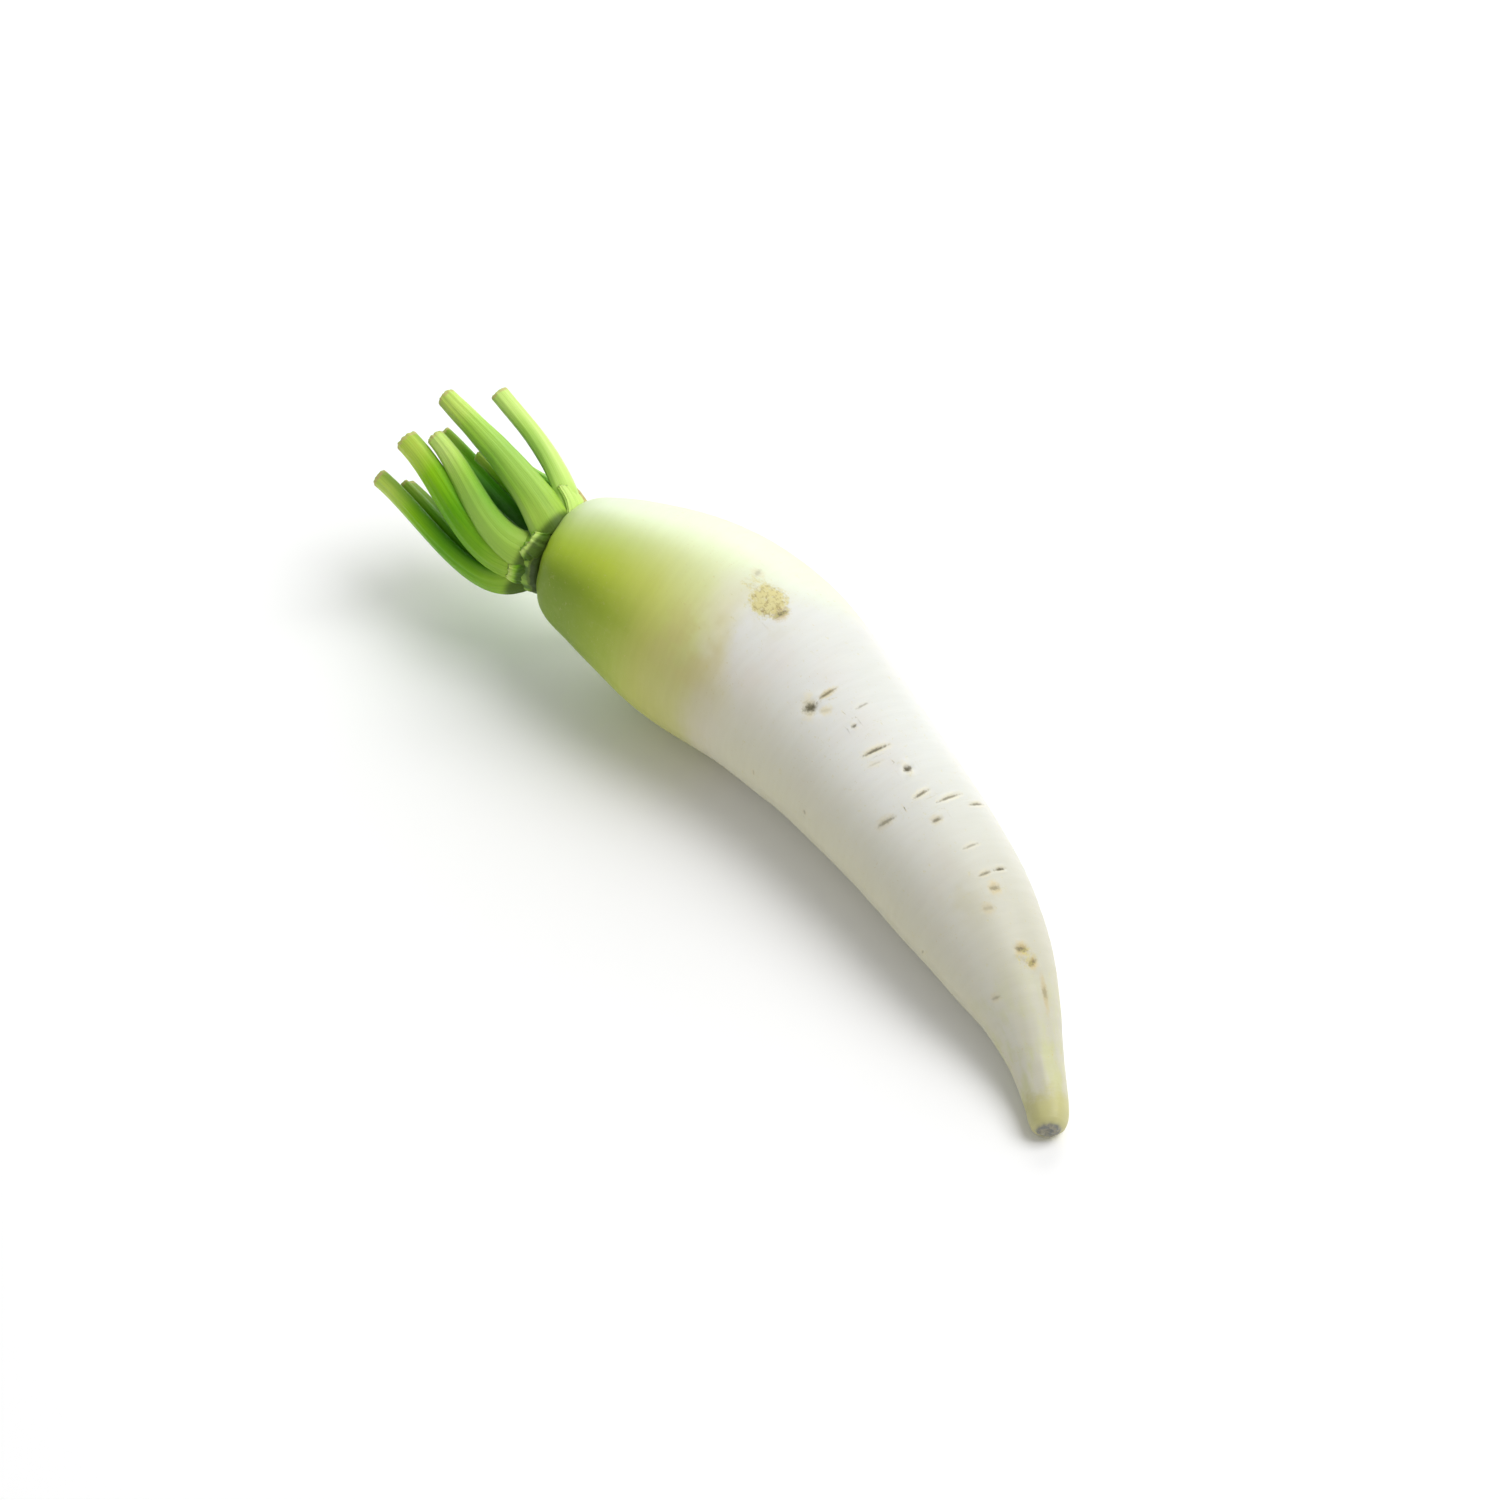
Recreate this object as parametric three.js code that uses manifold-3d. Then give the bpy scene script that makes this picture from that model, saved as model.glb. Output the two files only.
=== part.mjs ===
// A daikon radish as sold: one long white root with a green shoulder, the short stem
// at its head, and the leaf stalks cut off a few centimetres above it.
// Millimetres, +Z up. The root lies along X with its head towards -X, and rests on
// its belly at Z = 0.

import * as THREE from 'three';
import { mergeVertices } from 'three/addons/utils/BufferGeometryUtils.js';
import Module from 'manifold-3d';

const wasm = await Module();
wasm.setup();

// ---------------------------------------------------------------- driving dimensions

const GAP = 0.3; // room left between pieces that have grown against each other

// The line through the middle of the root, from its neck to its tail.
const ROOT_LINE = [
  [-97.9, -29.0, 43.4],
  [-76.0, -19.2, 41.9],
  [-50.5, -9.2, 38.0],
  [-18.9, -1.6, 35.3],
  [14.4, 0.2, 31.0],
  [45.5, -1.3, 27.2],
  [80.7, -4.8, 24.1],
  [110.4, -9.6, 20.6],
  [139.6, -17.3, 14.4],
  [165.2, -28.5, 6.8],
  [176.0, -36.0, 5.4],
];

// Radius of the root at distances along that line.
const NECK_RADIUS = 15.6;
const TAIL_RADIUS = 4.0;
const ROOT_PROFILE = [
  [0.0, NECK_RADIUS],
  [0.8, 17.4],
  [2.5, 20.0],
  [5.5, 22.6],
  [9.5, 24.7],
  [22.5, 29.1],
  [37.5, 33.4],
  [52.5, 36.2],
  [67.5, 37.0],
  [84.5, 36.1],
  [103.5, 33.7],
  [118.5, 31.6],
  [134.5, 29.4],
  [150.5, 27.7],
  [168.5, 26.1],
  [185.5, 24.6],
  [201.5, 22.9],
  [216.5, 20.5],
  [231.5, 17.3],
  [246.5, 12.9],
  [261.5, 9.0],
  [276.5, 7.0],
  [283.5, 6.3],
];
const ROOT_SIDES = 26;
const ROOT_STEPS = 46;

// The stem: a low bulging collar with a domed top, between the neck and the stalks.
const STEM_RADIUS = 15.0;
const STEM_BULGE = 16.6;
const STEM_HEIGHT = 13.0;
const STEM_SIDES = 24;
const STEM_AXIS = new THREE.Vector3(-0.961, -0.135, 0.242).normalize();

// Leaf stalks. Angles are round the stem's axis, 0 at the top and 90 on the +Y side.
// rootedAt and cutAt are those angles at the stem and at the cut end, spread is how far
// the cut end stands off the axis, reach its distance above the neck, base and tip its
// width at either end, and flare how many degrees off the axis it starts out.
const STALKS = [
  { rootedAt: -122, cutAt: -115, spread: 24, reach: 68, base: 13, tip: 8.2, flare: 80 },
  { rootedAt: -73, cutAt: -36, spread: 13.6, reach: 58.5, base: 14, tip: 6.4, flare: 44 },
  { rootedAt: -3, cutAt: 19, spread: 14.8, reach: 68, base: 15, tip: 7.4, flare: 30 },
  { rootedAt: 42, cutAt: 71, spread: 25, reach: 60.5, base: 12.5, tip: 8.6, flare: 32 },
  { rootedAt: -94, cutAt: -66, spread: 14.8, reach: 66, base: 13.5, tip: 9, flare: 52 },
  { rootedAt: -142, cutAt: -134, spread: 20.6, reach: 62.5, base: 12.5, tip: 7.6, flare: 62 },
  { rootedAt: 92, cutAt: 122, spread: 23, reach: 46, base: 12.5, tip: 8, flare: 48 },
  { rootedAt: 134, cutAt: 152, spread: 22, reach: 51, base: 12.5, tip: 7.5, flare: 56 },
  { rootedAt: 176, cutAt: -176, spread: 21, reach: 52, base: 12.5, tip: 7.5, flare: 60 },
];
const INNER_STALKS = [
  { rootedAt: 160, cutAt: 140, spread: 9.5, reach: 68.5, base: 9, tip: 6.2, flare: 0 },
  { rootedAt: 20, cutAt: 40, spread: 5, reach: 47, base: 7, tip: 5, flare: 0 },
  { rootedAt: -110, cutAt: -100, spread: 7, reach: 50, base: 7, tip: 5, flare: 0 },
];
const SHEATH = 0.18; // how much wider than its base an outer stalk clasps the stem
const BASE_THICKNESS = 0.6; // thickness over width where a stalk leaves the stem
const TIP_THICKNESS = 0.85; // and at its cut end
const STALK_ROOT_RADIUS = 11.5;
const INNER_ROOT_RADIUS = 5.0;
const STALK_ROOT_HEIGHT = 3.0;
const INNER_ROOT_HEIGHT = 9.0;
const STALK_SIDES = 12;
const STALK_STEPS = 9;

// Stubs of older leaves that were cut close to the stem.
const CUT_LEAF_BASES = [
  { angle: -94, width: 15, height: 6 },
  { angle: -46, width: 15, height: 4.6 },
  { angle: 36, width: 14, height: 13.5 },
  { angle: 62, width: 12, height: 13 },
  { angle: 168, width: 14, height: 9 },
];
const CUT_BASE_TAPER = 0.42;
const CUT_BASE_THICKNESS = 2.8;

// ---------------------------------------------------------------- materials

const material = (color, roughness) =>
  new THREE.MeshStandardMaterial({ color, roughness, metalness: 0 });
const rootSkin = material(0xe8e9de, 0.42);
const stemSkin = material(0xa9bf5c, 0.5);
const stalkSkin = material(0x86b63f, 0.45);
const cutSkin = material(0xbcb874, 0.7);

// ---------------------------------------------------------------- solids

/** Shares the corners of a geometry class's mesh, so that it is one closed body. */
function closed(geometry) {
  geometry.deleteAttribute('normal');
  geometry.deleteAttribute('uv');
  const merged = mergeVertices(geometry, 1e-4);
  const index = merged.getIndex().array;
  const kept = [];
  for (let i = 0; i < index.length; i += 3) {
    const [a, b, c] = [index[i], index[i + 1], index[i + 2]];
    if (a !== b && b !== c && c !== a) kept.push(a, b, c);
  }
  merged.setIndex(kept);
  return merged;
}

/** Turns a geometry into a solid that can be joined and cut. */
function solid(geometry) {
  const shape = closed(geometry);
  return new wasm.Manifold(new wasm.Mesh({
    numProp: 3,
    vertProperties: new Float32Array(shape.getAttribute('position').array),
    triVerts: new Uint32Array(shape.getIndex().array),
  }));
}

/** The largest of the separate bodies that a cut leaves. */
function largest(cutSolid) {
  const bodies = cutSolid.decompose();
  return bodies.reduce((best, body) => (body.volume() > best.volume() ? body : best));
}

/** A named, shaded mesh of a solid. */
function meshOf(name, shape, skin) {
  const { vertProperties, triVerts } = shape.getMesh();
  const geometry = new THREE.BufferGeometry();
  geometry.setAttribute('position', new THREE.BufferAttribute(vertProperties, 3));
  geometry.setIndex(new THREE.BufferAttribute(triVerts, 1));
  geometry.computeVertexNormals();
  const mesh = new THREE.Mesh(geometry, skin);
  mesh.name = name;
  return mesh;
}

/** Carries every corner of a straight geometry, grown along Y, to a place of its own. */
function reshape(geometry, place) {
  const position = geometry.getAttribute('position');
  const point = new THREE.Vector3();
  for (let i = 0; i < position.count; i += 1) {
    point.fromBufferAttribute(position, i);
    const moved = place(point);
    position.setXYZ(i, moved.x, moved.y, moved.z);
  }
  return geometry;
}

/** A smooth curve through points given as plain coordinates. */
const smoothLine = (points) =>
  new THREE.CatmullRomCurve3(points.map((p) => new THREE.Vector3(...p)), false, 'catmullrom');

// ---------------------------------------------------------------- the root

const rootLine = smoothLine(ROOT_LINE);
rootLine.arcLengthDivisions = 800;
const ROOT_LENGTH = rootLine.getLength();
const UP = new THREE.Vector3(0, 0, 1);

/** Bends a straight body of revolution along a line, its start moved back by lead. */
function bend(geometry, line, lead = 0) {
  const length = line.getLength();
  return reshape(geometry, (point) => {
    const along = THREE.MathUtils.clamp(point.y / length, 0, 1);
    const tangent = line.getTangentAt(along);
    const side = new THREE.Vector3().crossVectors(tangent, UP).normalize();
    const above = new THREE.Vector3().crossVectors(side, tangent);
    return line.getPointAt(along)
      .addScaledVector(side, point.x)
      .addScaledVector(above, point.z)
      .addScaledVector(tangent, point.y - along * length - lead);
  });
}

/** The root's outline, grown outwards by extra, from the axis at the neck to the tail. */
function rootOutline(extra) {
  const skin = new THREE.SplineCurve(
    [...ROOT_PROFILE, [ROOT_LENGTH - 1.5, TAIL_RADIUS + 1.2], [ROOT_LENGTH, TAIL_RADIUS]]
      .map(([along, radius]) => new THREE.Vector2(radius + extra, along)),
  );
  const outline = skin.getSpacedPoints(ROOT_STEPS);
  outline[0].set(NECK_RADIUS + extra, 0);
  return [new THREE.Vector2(0, 0), ...outline, new THREE.Vector2(0, ROOT_LENGTH)];
}

const rootSolid = (extra) =>
  solid(bend(new THREE.LatheGeometry(rootOutline(extra), ROOT_SIDES), rootLine, extra));

/** A slab under the resting plane, which trims the belly flat. */
function ground() {
  const slab = new THREE.BoxGeometry(600, 300, 40);
  slab.translate(0, 0, -20);
  return solid(slab);
}

// ---------------------------------------------------------------- the stem

const neck = rootLine.getPointAt(0);
const neckAxis = rootLine.getTangentAt(0).negate();
const stemLine = new THREE.QuadraticBezierCurve3(
  neck.clone().addScaledVector(neckAxis, GAP),
  neck.clone().addScaledVector(neckAxis, STEM_HEIGHT / 2),
  neck.clone().addScaledVector(neckAxis, STEM_HEIGHT / 2)
    .addScaledVector(STEM_AXIS, STEM_HEIGHT / 2),
);

function stemSolid(extra) {
  const height = stemLine.getLength();
  const side = new THREE.SplineCurve([
    new THREE.Vector2(STEM_RADIUS + extra, 0),
    new THREE.Vector2(STEM_BULGE + extra, height * 0.25),
    new THREE.Vector2(STEM_BULGE - 1 + extra, height * 0.5),
    new THREE.Vector2(STEM_RADIUS - 4 + extra, height * 0.8 + extra),
    new THREE.Vector2(4 + extra, height + extra),
  ]);
  const outline = [
    new THREE.Vector2(0, 0),
    ...side.getPoints(7),
    new THREE.Vector2(0, height + extra),
  ];
  return solid(bend(new THREE.LatheGeometry(outline, STEM_SIDES), stemLine));
}

// ---------------------------------------------------------------- leaf stalks

// Directions round the stem: top is as near up as the axis allows, flank towards +Y.
const top = UP.clone().addScaledVector(STEM_AXIS, -UP.dot(STEM_AXIS)).normalize();
const flank = new THREE.Vector3().crossVectors(STEM_AXIS, top);

/** The outward direction at an angle round the stem. */
function outward(degrees) {
  const angle = THREE.MathUtils.degToRad(degrees);
  return top.clone().multiplyScalar(Math.cos(angle)).addScaledVector(flank, Math.sin(angle));
}

/** The point at an angle round the stem, off its axis by spread, above the neck by height. */
function aroundStem(degrees, spread, height) {
  return neck.clone().addScaledVector(STEM_AXIS, height)
    .addScaledVector(outward(degrees), spread);
}

/** A straight rod of unit radius and length, which the stalks are shaped from. */
function unitRod(sides, steps) {
  const outline = [new THREE.Vector2(0, 0)];
  for (let i = 0; i <= steps; i += 1) outline.push(new THREE.Vector2(1, i / steps));
  outline.push(new THREE.Vector2(0, 1));
  return new THREE.LatheGeometry(outline, sides);
}

/**
 * A stalk along a line. It is rounded on the side away from the stem's axis and flatter
 * on the inner side, narrows to its tip, and widens into a sheath where it clasps the
 * stem.
 */
function stalkSolid(line, facing, { base, tip, sheath, thickness }, extra) {
  const rod = reshape(unitRod(STALK_SIDES, STALK_STEPS), (point) => {
    const tangent = line.getTangentAt(point.y);
    const out = facing.clone().addScaledVector(tangent, -facing.dot(tangent)).normalize();
    const across = new THREE.Vector3().crossVectors(tangent, out);
    const clasp = Math.max(0, 1 - point.y / 0.45) ** 2;
    const width = THREE.MathUtils.lerp(base, tip, point.y) * (1 + sheath * clasp);
    const deep = THREE.MathUtils.lerp(thickness[0], thickness[1], point.y);
    return line.getPointAt(point.y)
      .addScaledVector(across, point.x * (width / 2 + extra))
      .addScaledVector(out, point.z * ((point.z > 0 ? 0.62 : 0.38) * deep + extra))
      .addScaledVector(tangent, point.y > 0.999 ? extra : 0);
  });
  return solid(rod);
}

/** The line of a leaf stalk, out from the stem and then up beside its axis. */
function stalkLine(stalk, radius, height) {
  const start = aroundStem(stalk.rootedAt, radius, height);
  const end = aroundStem(stalk.cutAt, stalk.spread, stalk.reach);
  const reach = start.distanceTo(end);
  const flare = THREE.MathUtils.degToRad(stalk.flare);
  const leaving = STEM_AXIS.clone().multiplyScalar(Math.cos(flare))
    .addScaledVector(outward(stalk.rootedAt), Math.sin(flare));
  const arriving = end.clone().sub(start).normalize().lerp(STEM_AXIS, 0.6);
  return new THREE.CubicBezierCurve3(
    start,
    start.clone().addScaledVector(leaving, reach * 0.33),
    end.clone().addScaledVector(arriving, -reach * 0.36),
    end,
  );
}

/** The section of a stalk: how wide and how thick it is at either end. */
const sectionOf = ({ base, tip }, sheath) => ({
  base, tip, sheath, thickness: [base * BASE_THICKNESS, tip * TIP_THICKNESS],
});

/** The same direction as angle, written within half a turn of reference. */
const nearest = (angle, reference) =>
  angle + 360 * Math.round((reference - angle) / 360);

function outerStalk(stalk, extra) {
  const line = stalkLine(stalk, STALK_ROOT_RADIUS, STALK_ROOT_HEIGHT);
  const facing = outward((stalk.rootedAt + nearest(stalk.cutAt, stalk.rootedAt)) / 2);
  return stalkSolid(line, facing, sectionOf(stalk, SHEATH), extra);
}

function innerStalk(stalk, extra) {
  const line = stalkLine(stalk, INNER_ROOT_RADIUS, INNER_ROOT_HEIGHT);
  return stalkSolid(line, outward(stalk.rootedAt), sectionOf(stalk, 0), extra);
}

function cutLeafBase({ angle, width, height }, extra) {
  const line = new THREE.QuadraticBezierCurve3(
    aroundStem(angle, STEM_RADIUS - 1, 1.2),
    aroundStem(angle, STEM_BULGE + 1.6, height * 0.4),
    aroundStem(angle, STEM_BULGE + 2.4, height),
  );
  const section = {
    base: width,
    tip: width * (1 - CUT_BASE_TAPER),
    sheath: 0,
    thickness: [CUT_BASE_THICKNESS, CUT_BASE_THICKNESS],
  };
  return stalkSolid(line, outward(angle), section, extra);
}

// ---------------------------------------------------------------- the whole radish

const radish = new THREE.Group();
radish.name = 'daikon_radish';
radish.add(meshOf('taproot', rootSolid(0).subtract(ground()), rootSkin));
radish.add(meshOf('stem', stemSolid(0), stemSkin));

// Each later piece makes room for the ones already there.
const grown = [rootSolid(GAP), stemSolid(GAP)];

function addFitted(name, shapeOf, skin) {
  const shape = grown.reduce((rest, taken) => rest.subtract(taken), shapeOf(0));
  radish.add(meshOf(name, largest(shape), skin));
  grown.push(shapeOf(GAP));
}

CUT_LEAF_BASES.forEach((base, i) =>
  addFitted(`cut_leaf_base_${i + 1}`, (extra) => cutLeafBase(base, extra), cutSkin));
STALKS.forEach((stalk, i) =>
  addFitted(`leaf_stalk_${i + 1}`, (extra) => outerStalk(stalk, extra), stalkSkin));
INNER_STALKS.forEach((stalk, i) =>
  addFitted(`inner_leaf_stalk_${i + 1}`, (extra) => innerStalk(stalk, extra), stalkSkin));

export default radish;
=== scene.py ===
"""A daikon radish lying on its belly, as sold: the long white root with its green
shoulder, the short stem at its head, the trimmed leaf stalks, and the stubs of older
leaves round the dark crease between them."""

import functools
import logging
import math
import random
from dataclasses import dataclass
from enum import Enum

import bmesh
import bpy
import numpy as np
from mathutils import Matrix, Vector, noise


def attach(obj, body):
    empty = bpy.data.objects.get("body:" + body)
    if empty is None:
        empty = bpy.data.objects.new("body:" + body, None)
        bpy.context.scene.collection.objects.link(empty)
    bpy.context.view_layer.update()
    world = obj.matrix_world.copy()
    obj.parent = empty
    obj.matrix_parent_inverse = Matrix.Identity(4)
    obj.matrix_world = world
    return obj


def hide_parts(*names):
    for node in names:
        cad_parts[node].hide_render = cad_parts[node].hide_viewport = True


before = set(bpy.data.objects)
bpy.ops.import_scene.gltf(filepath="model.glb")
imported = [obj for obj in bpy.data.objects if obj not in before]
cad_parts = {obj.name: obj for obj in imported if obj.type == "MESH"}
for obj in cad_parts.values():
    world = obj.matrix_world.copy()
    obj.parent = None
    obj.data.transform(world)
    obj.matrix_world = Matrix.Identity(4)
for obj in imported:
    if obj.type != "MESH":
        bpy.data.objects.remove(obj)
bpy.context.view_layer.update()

BODY = "root"
MM = 0.001
TOUCHING = 1e-8
UP = Vector((0.0, 0.0, 1.0))

Piece = bpy.types.Object
Socket = bpy.types.NodeSocket
Sockets = bpy.types.bpy_prop_collection

log = logging.getLogger("daikon")


# ------------------------------------------------------------------ lines and places


class Line:
    """A smooth curve in space, looked up by the distance along it."""

    def __init__(self, places: np.ndarray) -> None:
        """Measures a curve.

        Args:
            places: closely spaced places on it, one row each.
        """
        self.places = places
        steps = np.linalg.norm(np.diff(places, axis=0), axis=1)
        self.reached = np.concatenate(([0.0], np.cumsum(steps)))
        self.length = float(self.reached[-1])
        headings = np.gradient(places, self.reached, axis=0)
        self.headings = headings / np.linalg.norm(headings, axis=1, keepdims=True)

    @classmethod
    def through(cls, points: list[Vector], samples: int = 60) -> "Line":
        """Makes a curve that passes smoothly through each of some points.

        Args:
            points: the places that the curve passes, in order.
            samples: how many places to keep between two points.

        Returns:
            The measured curve.
        """
        ends = [2 * points[0] - points[1], *points, 2 * points[-1] - points[-2]]
        places = []
        for before, start, end, after in zip(ends, ends[1:], ends[2:], ends[3:]):
            leave = (end - before) / 2
            arrive = (after - start) / 2
            for step in range(samples):
                t = step / samples
                places.append(
                    (2 * start - 2 * end + leave + arrive) * t**3
                    + (3 * end - 3 * start - 2 * leave - arrive) * t**2
                    + leave * t
                    + start
                )
        places.append(points[-1])
        return cls(np.array([tuple(place) for place in places]))

    @classmethod
    def bezier(cls, corners: list[Vector], samples: int = 90) -> "Line":
        """Makes a Bezier curve.

        Args:
            corners: the start, the one or two places that pull on it, and the end.
            samples: how many steps to measure it in.

        Returns:
            The measured curve.
        """
        degree = len(corners) - 1
        places = []
        for step in range(samples + 1):
            t = step / samples
            place = Vector((0.0, 0.0, 0.0))
            for i, corner in enumerate(corners):
                weight = math.comb(degree, i) * t**i * (1 - t) ** (degree - i)
                place += corner * weight
            places.append(tuple(place))
        return cls(np.array(places))

    def at(self, distances: np.ndarray) -> tuple[np.ndarray, np.ndarray]:
        """Finds places and headings at some distances along the curve.

        Args:
            distances: distances from the start, in metres.

        Returns:
            The places and the unit headings, one row each.
        """
        place = [np.interp(distances, self.reached, self.places[:, k]) for k in range(3)]
        heading = [np.interp(distances, self.reached, self.headings[:, k]) for k in range(3)]
        return np.stack(place, axis=1), unit(np.stack(heading, axis=1))


def unit(rows: np.ndarray) -> np.ndarray:
    """Scales each row to a length of one."""
    return rows / np.linalg.norm(rows, axis=1, keepdims=True)


def bend(straight: np.ndarray, line: Line) -> np.ndarray:
    """Carries a straight body that lies along X onto a line, with its Z side up.

    Args:
        straight: the body's points, one row each.
        line: where its middle goes.

    Returns:
        The bent body's points.
    """
    along = np.clip(straight[:, 0], 0.0, line.length)
    place, heading = line.at(along)
    left = unit(np.cross((0.0, 0.0, 1.0), heading))
    above = np.cross(heading, left)
    beyond = (straight[:, 0] - along)[:, None]
    return place + heading * beyond + left * straight[:, 1:2] + above * straight[:, 2:3]


def smooth_step(low: float, high: float, value: np.ndarray) -> np.ndarray:
    """Rises smoothly from 0 at low to 1 at high."""
    t = np.clip((value - low) / (high - low), 0.0, 1.0)
    return t * t * (3 - 2 * t)


def turn_from(around: np.ndarray, start: float) -> np.ndarray:
    """The turn from one angle to others, between -180 and 180 degrees."""
    return (around - start + 180) % 360 - 180


def ripple(places: np.ndarray, size: float, seed: float) -> np.ndarray:
    """Reads a smooth random field, about -1 to 1, whose bumps are a size apart."""
    shift = Vector((seed, seed * 1.7, seed * 0.3))
    return np.array([noise.noise(Vector(row) + shift) for row in (places / size).tolist()])


# ------------------------------------------------------------------ meshes


def make_piece(name: str, bm: bmesh.types.BMesh) -> Piece:
    """Closes a bmesh, turns its faces outwards and puts it in the scene.

    Args:
        name: the new object's name.
        bm: the finished bmesh, which is freed.

    Returns:
        The object, at the origin.
    """
    bmesh.ops.remove_doubles(bm, verts=bm.verts, dist=TOUCHING)
    bmesh.ops.recalc_face_normals(bm, faces=bm.faces)
    mesh = bpy.data.meshes.new(name)
    bm.to_mesh(mesh)
    bm.free()
    mesh.shade_smooth()
    piece = bpy.data.objects.new(name, mesh)
    bpy.context.scene.collection.objects.link(piece)
    return piece


def spun(name: str, outline: list[tuple[float, float]], sides: int) -> Piece:
    """Spins an outline round the X axis into a closed piece.

    Args:
        name: the new object's name.
        outline: places along X and off it, in metres, that start and end on it.
        sides: how many sides to give it.

    Returns:
        The object, at the origin.
    """
    bm = bmesh.new()
    chain = [bm.verts.new((along, 0.0, radius)) for along, radius in outline]
    edges = [bm.edges.new(pair) for pair in zip(chain, chain[1:])]
    bmesh.ops.spin(bm, geom=chain + edges, cent=(0, 0, 0), axis=(1, 0, 0),
                   angle=2 * math.pi, steps=sides, use_merge=True)
    return make_piece(name, bm)


def points_of(piece: Piece) -> np.ndarray:
    """Reads a piece's points.

    Args:
        piece: the piece.

    Returns:
        One row for each point, in metres.
    """
    points = np.empty(len(piece.data.vertices) * 3)
    piece.data.vertices.foreach_get("co", points)
    return points.reshape(-1, 3)


def move_points(piece: Piece, points: np.ndarray) -> None:
    """Gives a piece's points new places."""
    piece.data.vertices.foreach_set("co", points.ravel())
    piece.data.update()


def paint(piece: Piece, **values: np.ndarray | tuple[np.ndarray, ...]) -> None:
    """Stores values at each point, for the piece's material to read.

    Args:
        piece: the piece.
        values: one value for each point, or three rows of them, by name.
    """
    for name, rows in values.items():
        kind, field = (("FLOAT_VECTOR", "vector") if isinstance(rows, tuple)
                       else ("FLOAT", "value"))
        layer = piece.data.attributes.new(name, kind, "POINT")
        layer.data.foreach_set(field, np.array(rows).T.ravel())


def dress(piece: Piece, node: str, finish: bpy.types.Material) -> Piece:
    """Gives a piece its material, hangs it on the body and hides the node it replaces.

    Args:
        piece: the piece.
        node: the frame's node that it replaces.
        finish: the material.

    Returns:
        The piece.
    """
    piece.data.materials.append(finish)
    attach(piece, BODY)
    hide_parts(node)
    return piece


# ------------------------------------------------------------------ materials


WHITE_FLESH = (1.0, 0.85, 0.55)
GREEN_FLESH = (0.7, 1.0, 0.3)


def tone(*channels: int) -> tuple[float, ...]:
    """Turns a colour as seen on a screen, 0 to 255, into the values that light uses."""
    seen = [channel / 255 for channel in channels]
    return (*[c / 12.92 if c <= 0.04045 else ((c + 0.055) / 1.055) ** 2.4 for c in seen], 1.0)


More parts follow.
